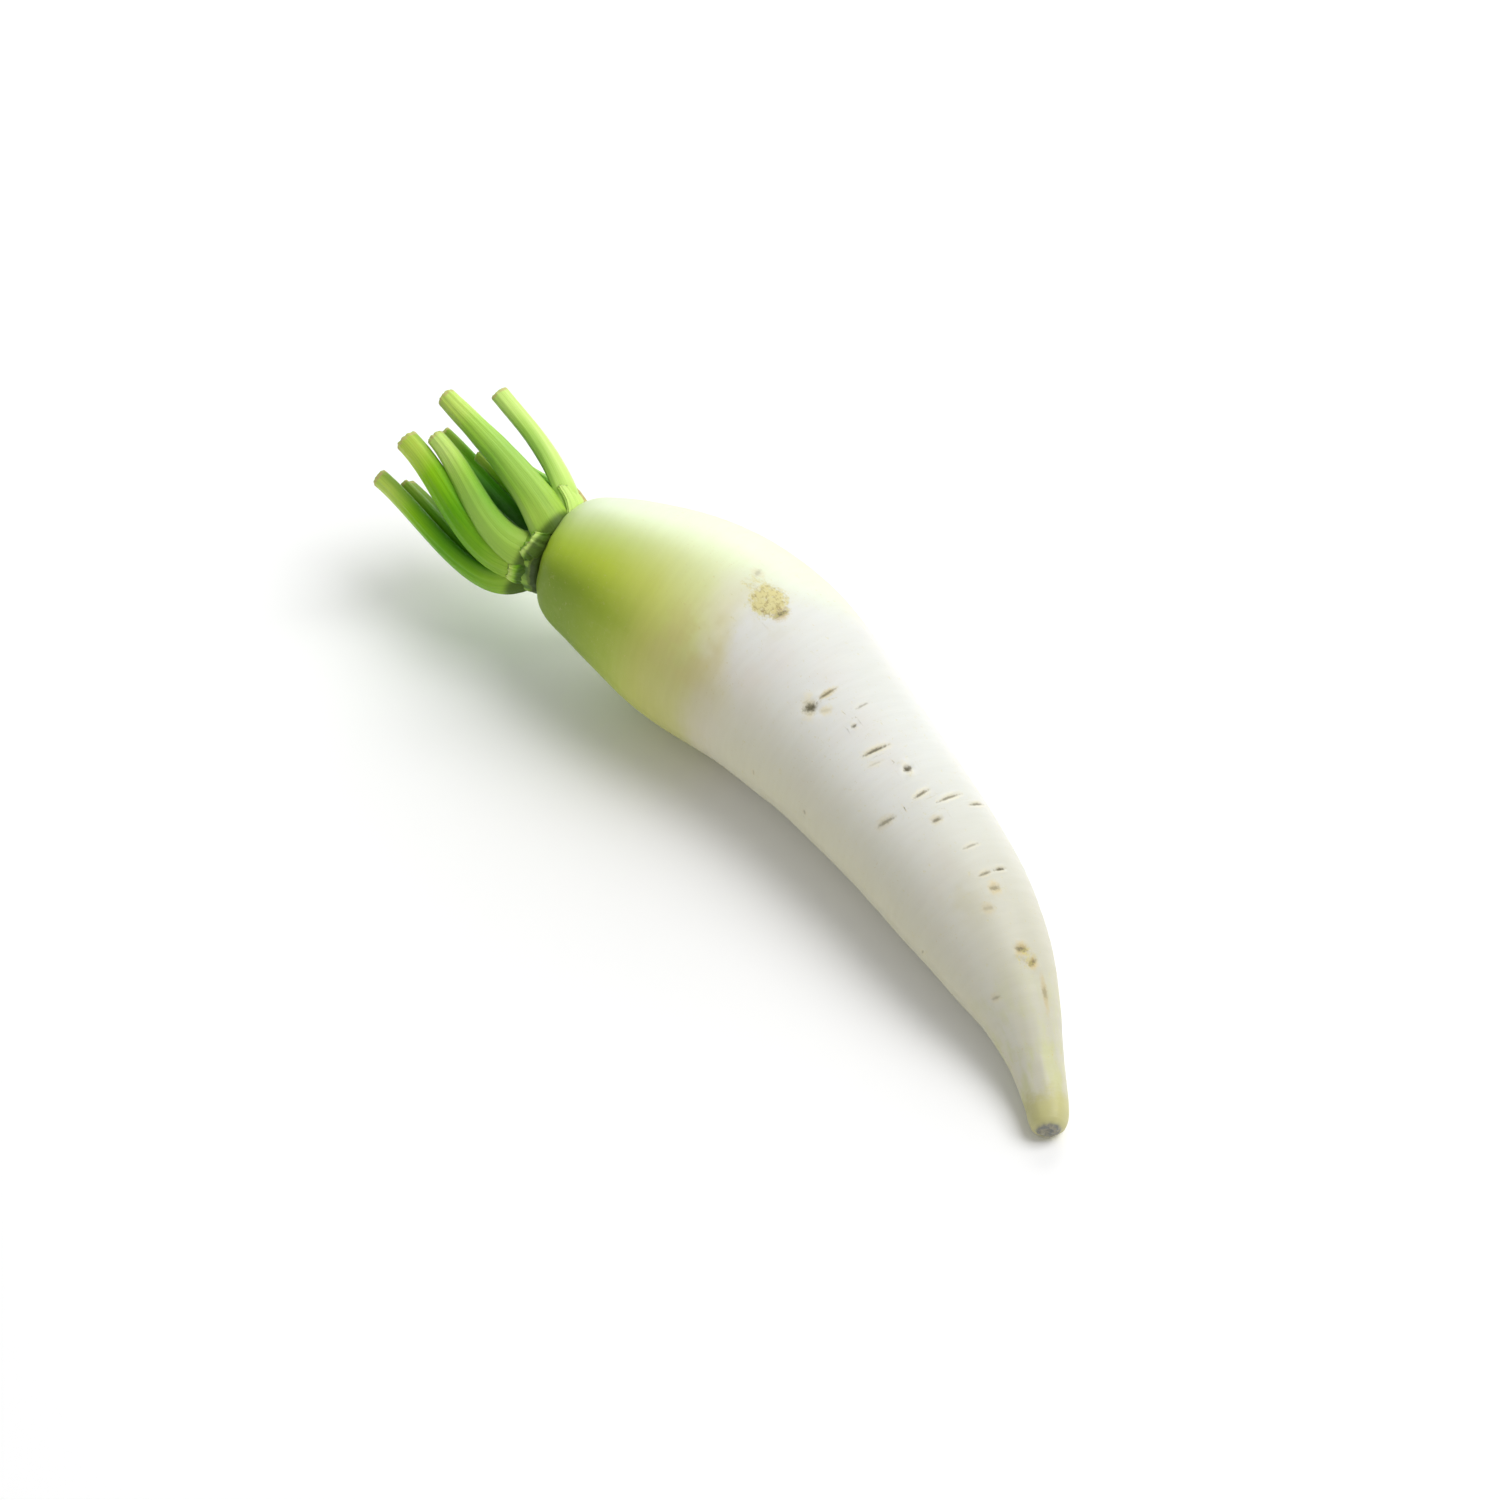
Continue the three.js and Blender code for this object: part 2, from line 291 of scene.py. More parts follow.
class Graph:
    """Adds nodes to one material or node group and links them."""

    def __init__(self, tree: bpy.types.NodeTree) -> None:
        """Takes the node tree to add to."""
        self.tree = tree
        self.readers: dict[str, bpy.types.Node] = {}

    def feed(self, socket: Socket, value: object) -> None:
        """Links an output to an input, or sets the input to a plain value."""
        if isinstance(value, Socket):
            self.tree.links.new(value, socket)
        else:
            socket.default_value = value

    def add(self, kind: str, inputs: dict[str | int, object],
            **settings: object) -> bpy.types.Node:
        """Adds a node, sets its properties and then feeds its inputs.

        Args:
            kind: which shader node.
            inputs: what each input is fed, by its name or its place in the row.
            settings: the node's properties.

        Returns:
            The node.
        """
        node = self.tree.nodes.new("ShaderNode" + kind)
        for key, setting in settings.items():
            setattr(node, key, setting)
        for key, value in inputs.items():
            self.feed(node.inputs[key], value)
        return node

    def read(self, name: str) -> Sockets:
        """Reads what is painted on the piece's points, with one node for each name."""
        if name not in self.readers:
            self.readers[name] = self.add("Attribute", {}, attribute_name=name)
        return self.readers[name].outputs

    def vector(self, name: str) -> Socket:
        """Reads three values painted on the piece's points."""
        return self.read(name)["Vector"]

    def value(self, name: str) -> Socket:
        """Reads one value painted on the piece's points."""
        return self.read(name)["Fac"]

    def math(self, operation: str, *values: object, clamp: bool = False) -> Socket:
        """Works out one number from others."""
        return self.add("Math", dict(enumerate(values)), operation=operation,
                        use_clamp=clamp).outputs[0]

    def times(self, first: object, second: object) -> Socket:
        """Multiplies two numbers."""
        return self.math("MULTIPLY", first, second)

    def push(self, start: object, value: Socket, share: float, clamp: bool = False) -> Socket:
        """Adds a share of a value to a number."""
        return self.math("MULTIPLY_ADD", value, share, start, clamp=clamp)

    def far(self, x: Socket, y: Socket) -> Socket:
        """Works out how far a flat place is from its middle."""
        return self.math("SQRT", self.math("ADD", self.times(x, x), self.times(y, y)))

    def split(self, vector: Socket) -> list[Socket]:
        """Takes a vector apart."""
        return list(self.add("SeparateXYZ", {0: vector}).outputs)

    def stretch(self, vector: Socket, *scale: float) -> Socket:
        """Scales a place differently along each axis, to draw a pattern out."""
        return self.add("VectorMath", {0: vector, 1: scale}, operation="MULTIPLY").outputs[0]

    def clouds(self, vector: Socket, scale: object, detail: float = 2.0,
               roughness: float = 0.5) -> Socket:
        """Reads soft noise, about 0.5 on average."""
        inputs = {"Vector": vector, "Scale": scale, "Detail": detail, "Roughness": roughness}
        return self.add("TexNoise", inputs).outputs[0]

    def waver(self, vector: Socket, scale: float, detail: float = 2.0,
              roughness: float = 0.5) -> Socket:
        """Reads soft noise, about 0 on average."""
        return self.math("SUBTRACT", self.clouds(vector, scale, detail, roughness), 0.5)

    def between(self, value: object, low: float, high: float, bottom: float = 0.0,
                top: float = 1.0) -> Socket:
        """Carries a value smoothly from bottom at low to top at high."""
        inputs = {"Value": value, "From Min": low, "From Max": high, "To Min": bottom,
                  "To Max": top}
        return self.add("MapRange", inputs, interpolation_type="SMOOTHSTEP").outputs["Result"]

    def both(self, *masks: tuple) -> Socket:
        """Multiplies masks, each given as what between takes."""
        return functools.reduce(self.times, [self.between(*mask) for mask in masks])

    def blend(self, factor: object, first: object, second: object, way: str = "MIX") -> Socket:
        """Mixes two colours."""
        return self.add("Mix", {0: factor, 6: first, 7: second}, data_type="RGBA",
                        blend_type=way).outputs[2]

    def ramp(self, value: Socket, stops: dict[float, tuple]) -> Socket:
        """Looks a value up in a row of colours.

        Args:
            value: what to look up.
            stops: the colours, by their places between 0 and 1.

        Returns:
            The colour.
        """
        node = self.add("ValToRGB", {0: value})
        elements = node.color_ramp.elements
        while len(elements) < len(stops):
            elements.new(0.5)
        for element, (position, colour) in zip(elements, stops.items()):
            element.position = position
            element.color = colour
        return node.outputs[0]


class Effect(Enum):
    """The effects that several finishes share, each a node group."""

    SKIN = "living_skin"
    DRYING = "dried_edge"


def open_group(effect: Effect, takes: dict[str, str],
               gives: dict[str, str]) -> tuple[Graph, Sockets, Sockets]:
    """Starts a shared node group.

    Args:
        effect: which effect it is for.
        takes: the kind of each input, by name.
        gives: the kind of each output, by name.

    Returns:
        Its node graph, the sockets that hold what it is given, and those for its results.
    """
    tree = bpy.data.node_groups.new(effect.value, "ShaderNodeTree")
    for way, sockets in (("INPUT", takes), ("OUTPUT", gives)):
        for name, kind in sockets.items():
            tree.interface.new_socket(name, in_out=way, socket_type="NodeSocket" + kind)
    given = tree.nodes.new("NodeGroupInput").outputs
    return Graph(tree), given, tree.nodes.new("NodeGroupOutput").inputs


def build_skin_group() -> bpy.types.NodeTree:
    """Builds the grain of living plant skin: fibres one way and fine pores over them.

    Returns:
        A group that takes a place and gives fibres and a height in millimetres.
    """
    graph, given, result = open_group(
        Effect.SKIN, {"Place": "Vector", "Fibre Scale": "Float", "Pore Scale": "Float",
                      "Fibre Height": "Float", "Pore Height": "Float"},
        {"Fibres": "Float", "Height": "Float"})
    fibres = graph.clouds(given["Place"], given["Fibre Scale"], 3.0)
    pores = graph.clouds(given["Place"], given["Pore Scale"])
    raised = graph.times(fibres, given["Fibre Height"])
    grained = graph.times(pores, given["Pore Height"])
    graph.feed(result["Fibres"], fibres)
    graph.feed(result["Height"], graph.math("ADD", raised, grained))
    return graph.tree


def build_drying_group() -> bpy.types.NodeTree:
    """Builds dried, browned tissue, which eats raggedly into the fresh colour.

    Returns:
        A group that takes a fresh colour, how dry it is and a place, and gives the
        dried colour and the mask of what has dried.
    """
    graph, given, result = open_group(
        Effect.DRYING, {"Fresh": "Color", "Tan": "Color", "Brown": "Color",
                        "Dryness": "Float", "Place": "Vector"},
        {"Color": "Color", "Dried": "Float"})
    ragged = graph.times(graph.waver(given["Place"], 900.0, 4.0, 0.65), 0.9)
    spread = graph.math("ADD", given["Dryness"], ragged)
    dried = graph.between(spread, 0.35, 0.7)
    browned = graph.between(spread, 0.75, 1.1)
    tanned = graph.blend(dried, given["Fresh"], given["Tan"])
    graph.feed(result["Color"], graph.blend(browned, tanned, given["Brown"]))
    graph.feed(result["Dried"], dried)
    return graph.tree


class Surface(Graph):
    """A material in the making, with one shader and the effects that several share."""

    groups: dict[Effect, bpy.types.NodeTree] = {}

    def __init__(self, name: str) -> None:
        """Makes an empty material.

        Args:
            name: the material's name.
        """
        self.material = bpy.data.materials.new(name)
        self.material.use_nodes = True
        super().__init__(self.material.node_tree)
        self.shader = self.tree.nodes["Principled BSDF"]

    def effect(self, effect: Effect, **values: object) -> Sockets:
        """Puts in a shared effect, with this material's own values.

        Args:
            effect: which effect.
            values: its inputs, with _ for each space in a name.

        Returns:
            What it puts out.
        """
        if effect not in self.groups:
            build = {Effect.SKIN: build_skin_group, Effect.DRYING: build_drying_group}
            self.groups[effect] = build[effect]()
        inputs = {name.replace("_", " "): value for name, value in values.items()}
        return self.add("Group", inputs, node_tree=self.groups[effect]).outputs

    def cover(self, colour: Socket, rough: Socket, height: Socket) -> None:
        """Feeds the shader what changes over the surface; the height is in millimetres."""
        bump = self.add("Bump", {"Distance": MM, "Height": height})
        for name, value in (("Base Color", colour), ("Roughness", rough),
                            ("Normal", bump.outputs["Normal"])):
            self.feed(self.shader.inputs[name], value)

    def flesh(self, weight: float, depth: float, colours: tuple[float, float, float],
              shine: float) -> None:
        """Lets light sink into the flesh, and sets how much its surface shines.

        Args:
            weight: how much of the light sinks in.
            depth: how far it travels inside, in metres.
            colours: how far red, green and blue travel, as parts of that.
            shine: the specular level.
        """
        sockets = self.shader.inputs
        sockets["Subsurface Weight"].default_value = weight
        sockets["Subsurface Radius"].default_value = colours
        sockets["Subsurface Scale"].default_value = depth
        sockets["Specular IOR Level"].default_value = shine


@dataclass(frozen=True)
class RootFinish:
    """Waxy root skin: green at the shoulder, white below, with scars and russet."""

    # The crease: dark tissue with painted shade in it.
    crease: tuple = tone(78, 98, 14)
    neck: tuple = tone(172, 202, 50)
    shoulder: tuple = tone(184, 211, 62)
    flank: tuple = tone(194, 212, 72)
    ripe: tuple = tone(211, 219, 112)
    fading: tuple = tone(220, 224, 150)
    border: tuple = tone(231, 228, 190)
    white: tuple = tone(233, 233, 227)
    # Painted shade and painted warm bounce light: a darker cream for the side away from the key
    # light.
    belly: tuple = tone(219, 216, 190)
    # Painted shade: a deeper green for the shoulder's side away from the key light.
    shaded: tuple = tone(106, 136, 2)
    # Painted shade: a greyish dimming for the lower flank, as if something close beside it
    # blocked the light.
    occlusion_shade: tuple = (0.87, 0.81, 0.89, 1.0)
    rosy: tuple = tone(232, 222, 214)
    blush: tuple = tone(208, 196, 130)
    # Painted highlight for the green shoulder's top; the next colour is painted shade that dims
    # the white body's top.
    lit_top: tuple = tone(225, 237, 208)
    white_lit_top: tuple = tone(218, 220, 214)
    # The tail's own darker, warmer tone, laid on most where it faces the key light as painted
    # shade.
    tail: tuple = tone(201, 198, 176)
    sallow: tuple = tone(204, 206, 150)
    tail_band: tuple = tone(194, 190, 130)
    broken: tuple = tone(126, 128, 124)
    cork: tuple = tone(168, 162, 138)
    cream: tuple = tone(240, 234, 208)
    tan: tuple = tone(204, 184, 128)
    scar: tuple = tone(104, 99, 78)
    russet: tuple = tone(214, 204, 134)
    russet_dark: tuple = tone(150, 128, 80)
    grain: tuple = (0.55, 0.5, 0.4, 1.0)
    roughness: float = 0.44

    def build(self) -> bpy.types.Material:
        """Builds the material.

        Returns:
            The material.
        """
        graph = Surface("root_skin")
        place = graph.stretch(graph.vector("straight"), 1.0, 0.16, 0.16)
        skin = graph.effect(Effect.SKIN, Place=place, Fibre_Scale=420.0, Pore_Scale=1900.0,
                            Fibre_Height=0.10, Pore_Height=0.025)
        colour, wear = self.marks(graph, self.ends(graph, self.ripening(graph)))
        grain = graph.between(skin["Fibres"], 0.3, 0.72, 0.0, 0.05)
        colour = graph.blend(grain, colour, self.grain, "MULTIPLY")
        rough = graph.push(self.roughness - 0.08, skin["Fibres"], 0.16)
        rough = graph.push(rough, wear, 0.35, clamp=True)
        graph.cover(colour, rough, graph.push(skin["Height"], wear, -0.16))
        graph.flesh(0.22, 0.004, WHITE_FLESH, 0.28)
        waxy = graph.both((graph.value("greening"), 1.3, 0.5, 0.06, 0.4),
                          (graph.value("turned"), 80.0, 30.0, 0.1))
        graph.feed(graph.shader.inputs["Coat Weight"], waxy)
        graph.shader.inputs["Coat Roughness"].default_value = 0.3
        return graph.material

    def ripening(self, graph: Surface) -> Socket:
        """Paints green into white, with pale flecks and faint warm and cool patches, and
        paints shade away from the key light and a highlight along the top.

        Args:
            graph: the material.

        Returns:
            The colour.
        """
        straight, turned = graph.vector("straight"), graph.value("turned")
        ripe = graph.push(graph.value("greening"), graph.waver(straight, 46.0, 4.0, 0.6), 0.12)
        colour = graph.ramp(ripe, {
            0.0: self.neck, 0.1: self.shoulder, 0.3: self.flank, 0.54: self.ripe,
            0.78: self.fading, 0.92: self.border, 1.0: self.white})
        # Painted shade: the shoulder's green turns deeper on the side away from the key light.
        shaded = graph.both((turned, 58.0, 88.0, 0.0, 0.8), (ripe, 0.6, 0.1))
        colour = graph.blend(shaded, colour, self.shaded)
        flecks = graph.clouds(graph.stretch(straight, 0.22, 1.0, 1.0), 520.0, 3.0, 0.6)
        pale = graph.both((flecks, 0.52, 0.75), (ripe, 1.0, 0.1, 0.0, 0.07))
        colour = graph.blend(pale, colour, self.fading)
        patches = graph.clouds(straight, 30.0, 3.0, 0.55)
        rosy = graph.both((patches, 0.42, 0.68), (ripe, 0.7, 1.0, 0.0, 0.6))
        colour = graph.blend(rosy, colour, self.rosy)
        # Painted shade and painted warm bounce light: the white body turns a darker cream away
        # from the key light.
        underside_shade = graph.both((turned, 42.0, 120.0), (ripe, 0.7, 1.0))
        colour = graph.blend(underside_shade, colour, self.belly)
        # Painted shade: the lower flank where the green gives way to white is dimmed, as if
        # something close beside it blocked the light.
        occluded_flank = graph.both((turned, 58.0, 92.0), (ripe, 0.3, 0.6), (ripe, 1.02, 0.72))
        colour = graph.blend(occluded_flank, colour, self.occlusion_shade, "MULTIPLY")
        warmth = graph.between(graph.clouds(straight, 110.0, 3.0), 0.35, 0.65)
        colour = graph.blend(graph.times(graph.value("blush"), warmth), colour, self.blush)
        # Painted highlight: the green shoulder's top is paled round the side facing the key
        # light; on the white body the same band is painted shade that dims its top.
        lit_top = graph.both((turned, 64.0, 2.0), (ripe, 0.0, 0.14, 0.5, 0.92))
        lit_top_tint = graph.blend(graph.between(ripe, 0.7, 1.0), self.lit_top, self.white_lit_top)
        return graph.blend(lit_top, colour, lit_top_tint)

    def ends(self, graph: Surface, colour: Socket) -> Socket:
        """Paints the dark crease at the neck, part dark tissue and part painted shade, the
        yellowing tail with painted shade on its lit side, and its broken end.

        Args:
            graph: the material.
            colour: the skin's colour so far.

        Returns:
            The colour.
        """
        straight = graph.vector("straight")
        along = graph.split(straight)[0]
        uneven = graph.waver(straight, 260.0, 3.0, 0.6)
        reach = graph.push(along, uneven, 3.2 * MM)
        # The crease at the neck: dark tissue, darkened further as painted shade.
        colour = graph.blend(graph.between(reach, 2.2 * MM, 0.5 * MM), colour, self.crease)
        # The tail turns darker and warmer: its own tone, and painted shade on the side facing the
        # key light.
        tail_tint_and_shade = graph.both((graph.value("turned"), 40.0, 88.0, 0.85, 0.35),
                          (reach, 150 * MM, 250 * MM))
        colour = graph.blend(tail_tint_and_shade, colour, self.tail)
        drawn = graph.clouds(graph.stretch(straight, 0.3, 1.0, 1.0), 230.0, 3.0, 0.6)
        sallow = graph.both((drawn, 0.4, 0.68), (reach, 228 * MM, 268 * MM, 0.0, 0.7))
        colour = graph.blend(sallow, colour, self.sallow)
        band = graph.between(graph.push(along, uneven, 16 * MM), 271 * MM, 282 * MM, 0.0, 0.85)
        colour = graph.blend(band, colour, self.tail_band)
        corky = graph.between(graph.clouds(straight, 700.0, 4.0, 0.65), 0.4, 0.62, 0.0, 0.75)
        stump = graph.blend(corky, self.broken, self.cork)
        return graph.blend(graph.value("broken"), colour, stump)

    def marks(self, graph: Surface, colour: Socket) -> tuple[Socket, Socket]:
        """Paints the scars of side roots, the russet patches and stray specks.

        Args:
            graph: the material.
            colour: the skin's colour so far.

        Returns:
            The colour, and where the skin is rough and sunken.
        """
        straight, russet = graph.vector("straight"), graph.value("russet")
        lengthwise, crosswise, presence = graph.split(graph.vector("mark_place"))
        dark, halo, warm = graph.split(graph.vector("mark_tone"))
        ragged = graph.waver(straight, 1100.0, 3.0, 0.6)
        near = graph.between(presence, 0.0, 0.12)

        def oval(length: float, width: float, edge: float, core: float, rag: float) -> Socket:
            """Draws a ragged oval round a mark: 1 inside its core, 0 outside its edge."""
            far = graph.far(graph.math("DIVIDE", lengthwise, length),
                            graph.math("DIVIDE", crosswise, width))
            return graph.times(graph.between(graph.push(far, ragged, rag), edge, core), near)

        rim = graph.times(oval(1.35, 3.8, 1.05, 0.2, 0.9), halo)
        colour = graph.blend(rim, colour, graph.blend(warm, self.cream, self.tan))
        smudge = graph.times(oval(1.1, 1.7, 1.15, 0.3, 1.1), dark)
        colour = graph.blend(graph.times(smudge, 0.4), colour, self.scar)
        slit = graph.times(oval(0.95, 0.9, 1.15, 0.3, 1.3), dark)
        colour = graph.blend(slit, colour, self.scar)
        cover = graph.push(russet, graph.waver(straight, 620.0, 4.0, 0.7), 2.4)
        crust = graph.between(cover, 0.2, 0.9)
        colour = graph.blend(graph.times(crust, 0.85), colour, self.russet)
        grit = graph.clouds(straight, 640.0, 5.0, 0.72)
        pits = graph.both((grit, 0.47, 0.68, 0.0, 0.75), (russet, 0.2, 0.9))
        colour = graph.blend(pits, colour, self.russet_dark)
        specks = graph.both((graph.clouds(straight, 1500.0, 1.0), 0.69, 0.76, 0.0, 0.5),
                            (graph.clouds(straight, 70.0), 0.5, 0.66))
        colour = graph.blend(specks, colour, self.tan)
        return colour, graph.push(slit, crust, 0.5, clamp=True)


@dataclass(frozen=True)
class StalkFinish:
    """Crisp green leaf stalk: ribbed, pale where it clasps the stem, dried at the cut."""

    sheath: tuple = tone(158, 196, 62)
    low: tuple = tone(122, 178, 22)
    middle: tuple = tone(106, 174, 2)
    upper: tuple = tone(146, 202, 18)
    top: tuple = tone(194, 220, 84)
    shade: tuple = tone(70, 146, 2)
    # Painted shade for the stalks' inner sides and the gaps between them:
    inside: tuple = tone(40, 118, 2)
    # Painted shade for what lies deep in the crease at the stem:
    deep: tuple = tone(44, 72, 4)
    # The stalks' own paler tone, which also carries a painted highlight along each crown:
    pale: tuple = tone(200, 230, 122)
    pith: tuple = tone(206, 216, 150)
    bundle: tuple = tone(122, 150, 50)
    bundles: int = 9
    bundle_ring: float = 0.64
    tan: tuple = tone(196, 184, 122)
    brown: tuple = tone(138, 108, 58)
    roughness: float = 0.4

    def build(self) -> bpy.types.Material:
        """Builds the material.

        Returns:
            The material.
        """
        graph = Surface("stalk_skin")
        fibre, solid = graph.vector("fibre"), graph.vector("straight")
        run = graph.split(fibre)[2]
        skin = graph.effect(Effect.SKIN, Place=graph.stretch(fibre, 1.0, 1.0, 0.22),
                            Fibre_Scale=13.0, Pore_Scale=70.0, Fibre_Height=0.16,
                            Pore_Height=0.03)
        reach = graph.push(run, graph.waver(solid, 90.0, 3.0), 0.12)
        colour = graph.ramp(reach, {
            0.0: self.sheath, 0.12: self.sheath, 0.28: self.low, 0.5: self.middle,
            0.74: self.upper, 0.9: self.top})
        stripes = graph.between(skin["Fibres"], 0.42, 0.75, 0.0, 0.35)
        colour = graph.blend(stripes, colour, self.shade)
        paleness, dryness, inward_shade = graph.split(graph.vector("growth"))
        # Paleness: each stalk's own paler tone, plus a painted highlight along its crown.
        colour = graph.blend(paleness, colour, self.pale)
        # Painted shade on each stalk's inner side, facing the stem's axis, and in the gaps
        # between stalks.
        colour = graph.blend(graph.times(inward_shade, 0.75), colour, self.inside)
        # Painted shade where the stalks grow out of the crease.
        buried = graph.between(graph.value("buried"), 0.0, 1.0, 0.0, 0.8)
        colour = graph.blend(buried, colour, self.deep)
        colour, opened = self.cut_face(graph, colour)
        rim = graph.times(graph.between(run, 0.945, 0.995, 0.0, 0.62),
                          graph.math("SUBTRACT", 1.0, opened))
        drying = graph.effect(Effect.DRYING, Fresh=colour, Tan=self.tan, Brown=self.brown,
                              Dryness=graph.math("MAXIMUM", rim, dryness), Place=solid)
        rough = graph.push(self.roughness - 0.1, skin["Fibres"], 0.2)
        rough = graph.push(rough, drying["Dried"], 0.3, clamp=True)
        graph.cover(drying["Color"], rough, skin["Height"])
        graph.flesh(0.2, 0.0025, GREEN_FLESH, 0.2)
        return graph.material

    def cut_face(self, graph: Surface, colour: Socket) -> tuple[Socket, Socket]:
        """Paints the cut end: pale pith with a ring of darker bundles.

        Args:
            graph: the material.
            colour: the skin's colour so far.

        Returns:
            The colour, and where the cut face is.
        """
        x, y, opened = graph.split(graph.vector("cut_place"))
        far = graph.far(x, y)
        turn = graph.times(graph.math("ARCTAN2", y, x), self.bundles / (2 * math.pi))
        beside, across = (
            graph.math("ABSOLUTE", graph.math("SUBTRACT", value, middle))
            for value, middle in ((graph.math("FRACT", turn), 0.5), (far, self.bundle_ring)))
        dots = graph.between(graph.push(across, beside, 0.5), 0.16, 0.07, 0.0, 0.7)
        pith = graph.blend(graph.between(far, 0.72, 0.95), self.pith, self.middle)
        return graph.blend(opened, colour, graph.blend(dots, pith, self.bundle)), opened


@dataclass(frozen=True)
class StemFinish:
    """The stem's skin: pale green ridges, painted shade between them and in the dried crease."""

    ridge: tuple = tone(140, 178, 52)
    # Painted shade for the hollows between the ridges:
    hollow_shade: tuple = tone(74, 112, 12)
    # Drying colours, dark enough to carry painted shade in the crease as well:
    tan: tuple = tone(96, 122, 22)
    brown: tuple = tone(60, 84, 4)
    roughness: float = 0.5

    def build(self) -> bpy.types.Material:
        """Builds the material.

        Returns:
            The material.
        """
        graph = Surface("stem_skin")
        straight = graph.vector("straight")
        skin = graph.effect(Effect.SKIN, Place=graph.stretch(straight, 0.3, 1.0, 1.0),
                            Fibre_Scale=700.0, Pore_Scale=2600.0, Fibre_Height=0.2,
                            Pore_Height=0.05)
        # Painted shade: the hollows between the ridges are darker green.
        raised = graph.between(graph.value("relief"), 0.25, 0.8)
        # Dried tissue and painted shade darken the stem next to the crease.
        drying = graph.effect(Effect.DRYING, Tan=self.tan, Brown=self.brown, Place=straight,
                              Fresh=graph.blend(raised, self.hollow_shade, self.ridge),
                              Dryness=graph.value("dryness"))
        rough = graph.push(self.roughness - 0.1, skin["Fibres"], 0.25)
        graph.cover(drying["Color"], rough, skin["Height"])
        graph.flesh(0.15, 0.0025, GREEN_FLESH, 0.5)
        return graph.material


@dataclass(frozen=True)
class FloorFinish:
    """Plain matt white paper board."""

    board: tuple = tone(254, 254, 254)
    roughness: float = 0.9
    shine: float = 0.1

    def build(self) -> bpy.types.Material:
        """Builds the material.

        Returns:
            The material.
        """
        graph = Surface("white_board")
        graph.shader.inputs["Base Color"].default_value = self.board
        graph.shader.inputs["Roughness"].default_value = self.roughness
        graph.shader.inputs["Specular IOR Level"].default_value = self.shine
        return graph.material


# ------------------------------------------------------------------ the root


@dataclass(frozen=True)
class Mark:
    """A scar where a side root grew, across the root. Millimetres and degrees.

    around is the angle round the root from its top, positive towards -Y.
    """

    along: float
    around: float
    length: float
    width: float
    slant: float = 0.0
    depth: float = 0.3
    dark: float = 0.7
    halo: float = 0.5
    warm: float = 0.1


@dataclass(frozen=True)
class Patch:
    """A corky or tinted patch of skin. Millimetres and degrees."""

    along: float
    around: float
    length: float
    width: float
    strength: float = 1.0


SEEN_MARKS = (
    Mark(125.2, 27, 6.4, 3.6, slant=-34, depth=0.5, dark=0.95, halo=0.9, warm=0.15),
    Mark(124.6, 14.5, 8.6, 1.1, slant=-4, depth=0.3, dark=0.6, halo=0.95, warm=0.5),
    Mark(129.1, 22, 6.0, 1.6, slant=-30, depth=0.15, dark=0.12, halo=0.8, warm=0.25),
    Mark(134.7, 0, 6.0, 1.0, slant=4, depth=0.18, dark=0.35, halo=0.2),
    Mark(139.9, 12.6, 2.2, 1.3, depth=0.3, dark=0.65, halo=0.35, warm=0.3),
    Mark(151.7, 11, 10.5, 1.3, slant=-7, depth=0.45, dark=0.75, halo=0.85, warm=0.1),
    Mark(156.0, 17, 6.0, 1.0, slant=-10, depth=0.14, dark=0.15, halo=0.4),
    Mark(163.4, 0, 3.2, 2.4, depth=0.6, dark=0.95, halo=0.55, warm=0.2),
    Mark(173.8, 3, 7.0, 1.2, slant=6, depth=0.35, dark=0.65, halo=0.75, warm=0.1),
    Mark(178.5, -15, 11.0, 1.1, slant=5, depth=0.35, dark=0.6, halo=0.6, warm=0.1),
    Mark(182.0, -38, 9.0, 1.1, slant=8, depth=0.35, dark=0.6, halo=0.5, warm=0.25),
    Mark(184.3, 5, 4.4, 1.4, depth=0.3, dark=0.6, halo=0.5, warm=0.7),
    Mark(174.9, 37, 7.5, 1.5, slant=-12, depth=0.3, dark=0.45, halo=0.45, warm=0.6),
    Mark(197.4, -7, 7.0, 1.0, slant=4, depth=0.2, dark=0.35, halo=0.4),
    Mark(207.5, -6, 5.6, 1.0, slant=4, depth=0.3, dark=0.5, halo=0.5, warm=0.4),
    Mark(207.1, -22, 5.0, 1.0, slant=3, depth=0.35, dark=0.85, halo=0.4, warm=0.3),
    Mark(212.7, -8, 4.2, 1.9, depth=0.3, dark=0.45, halo=0.85, warm=0.65),
    Mark(218.0, 6, 4.6, 1.6, slant=-10, depth=0.15, dark=0.18, halo=0.5, warm=0.7),
    Mark(232.9, -10, 5.2, 1.8, slant=-20, depth=0.35, dark=0.6, halo=0.9, warm=0.9),
    Mark(237.3, -19, 4.4, 1.7, slant=20, depth=0.35, dark=0.6, halo=0.95, warm=0.9),
    Mark(246.5, -28, 2.4, 4.6, depth=0.2, dark=0.3, halo=0.6, warm=0.9),
    Mark(243.5, 42, 3.6, 1.2, slant=-10, depth=0.2, dark=0.3, halo=0.4, warm=0.5),
    Mark(76.6, -6, 4.6, 1.8, slant=10, depth=0.15, dark=0.22, halo=0.35, warm=0.7),
    Mark(92.3, 4.0, 6.4, 1.9, slant=-6, depth=0.4, dark=0.8, halo=0.9, warm=0.95),
)
RUSSET = (
    Patch(86.4, 3.5, 15.5, 14.0),
    Patch(78.2, 1, 10.0, 8.0, 0.4),
    Patch(235.5, -14, 9.0, 8.0, 0.45),
    Patch(109.5, 176, 12.0, 15.0, 0.8),
    Patch(203.5, 190, 9.0, 10.0, 0.55),
    Patch(49.5, -96, 8.0, 9.0, 0.4),
)
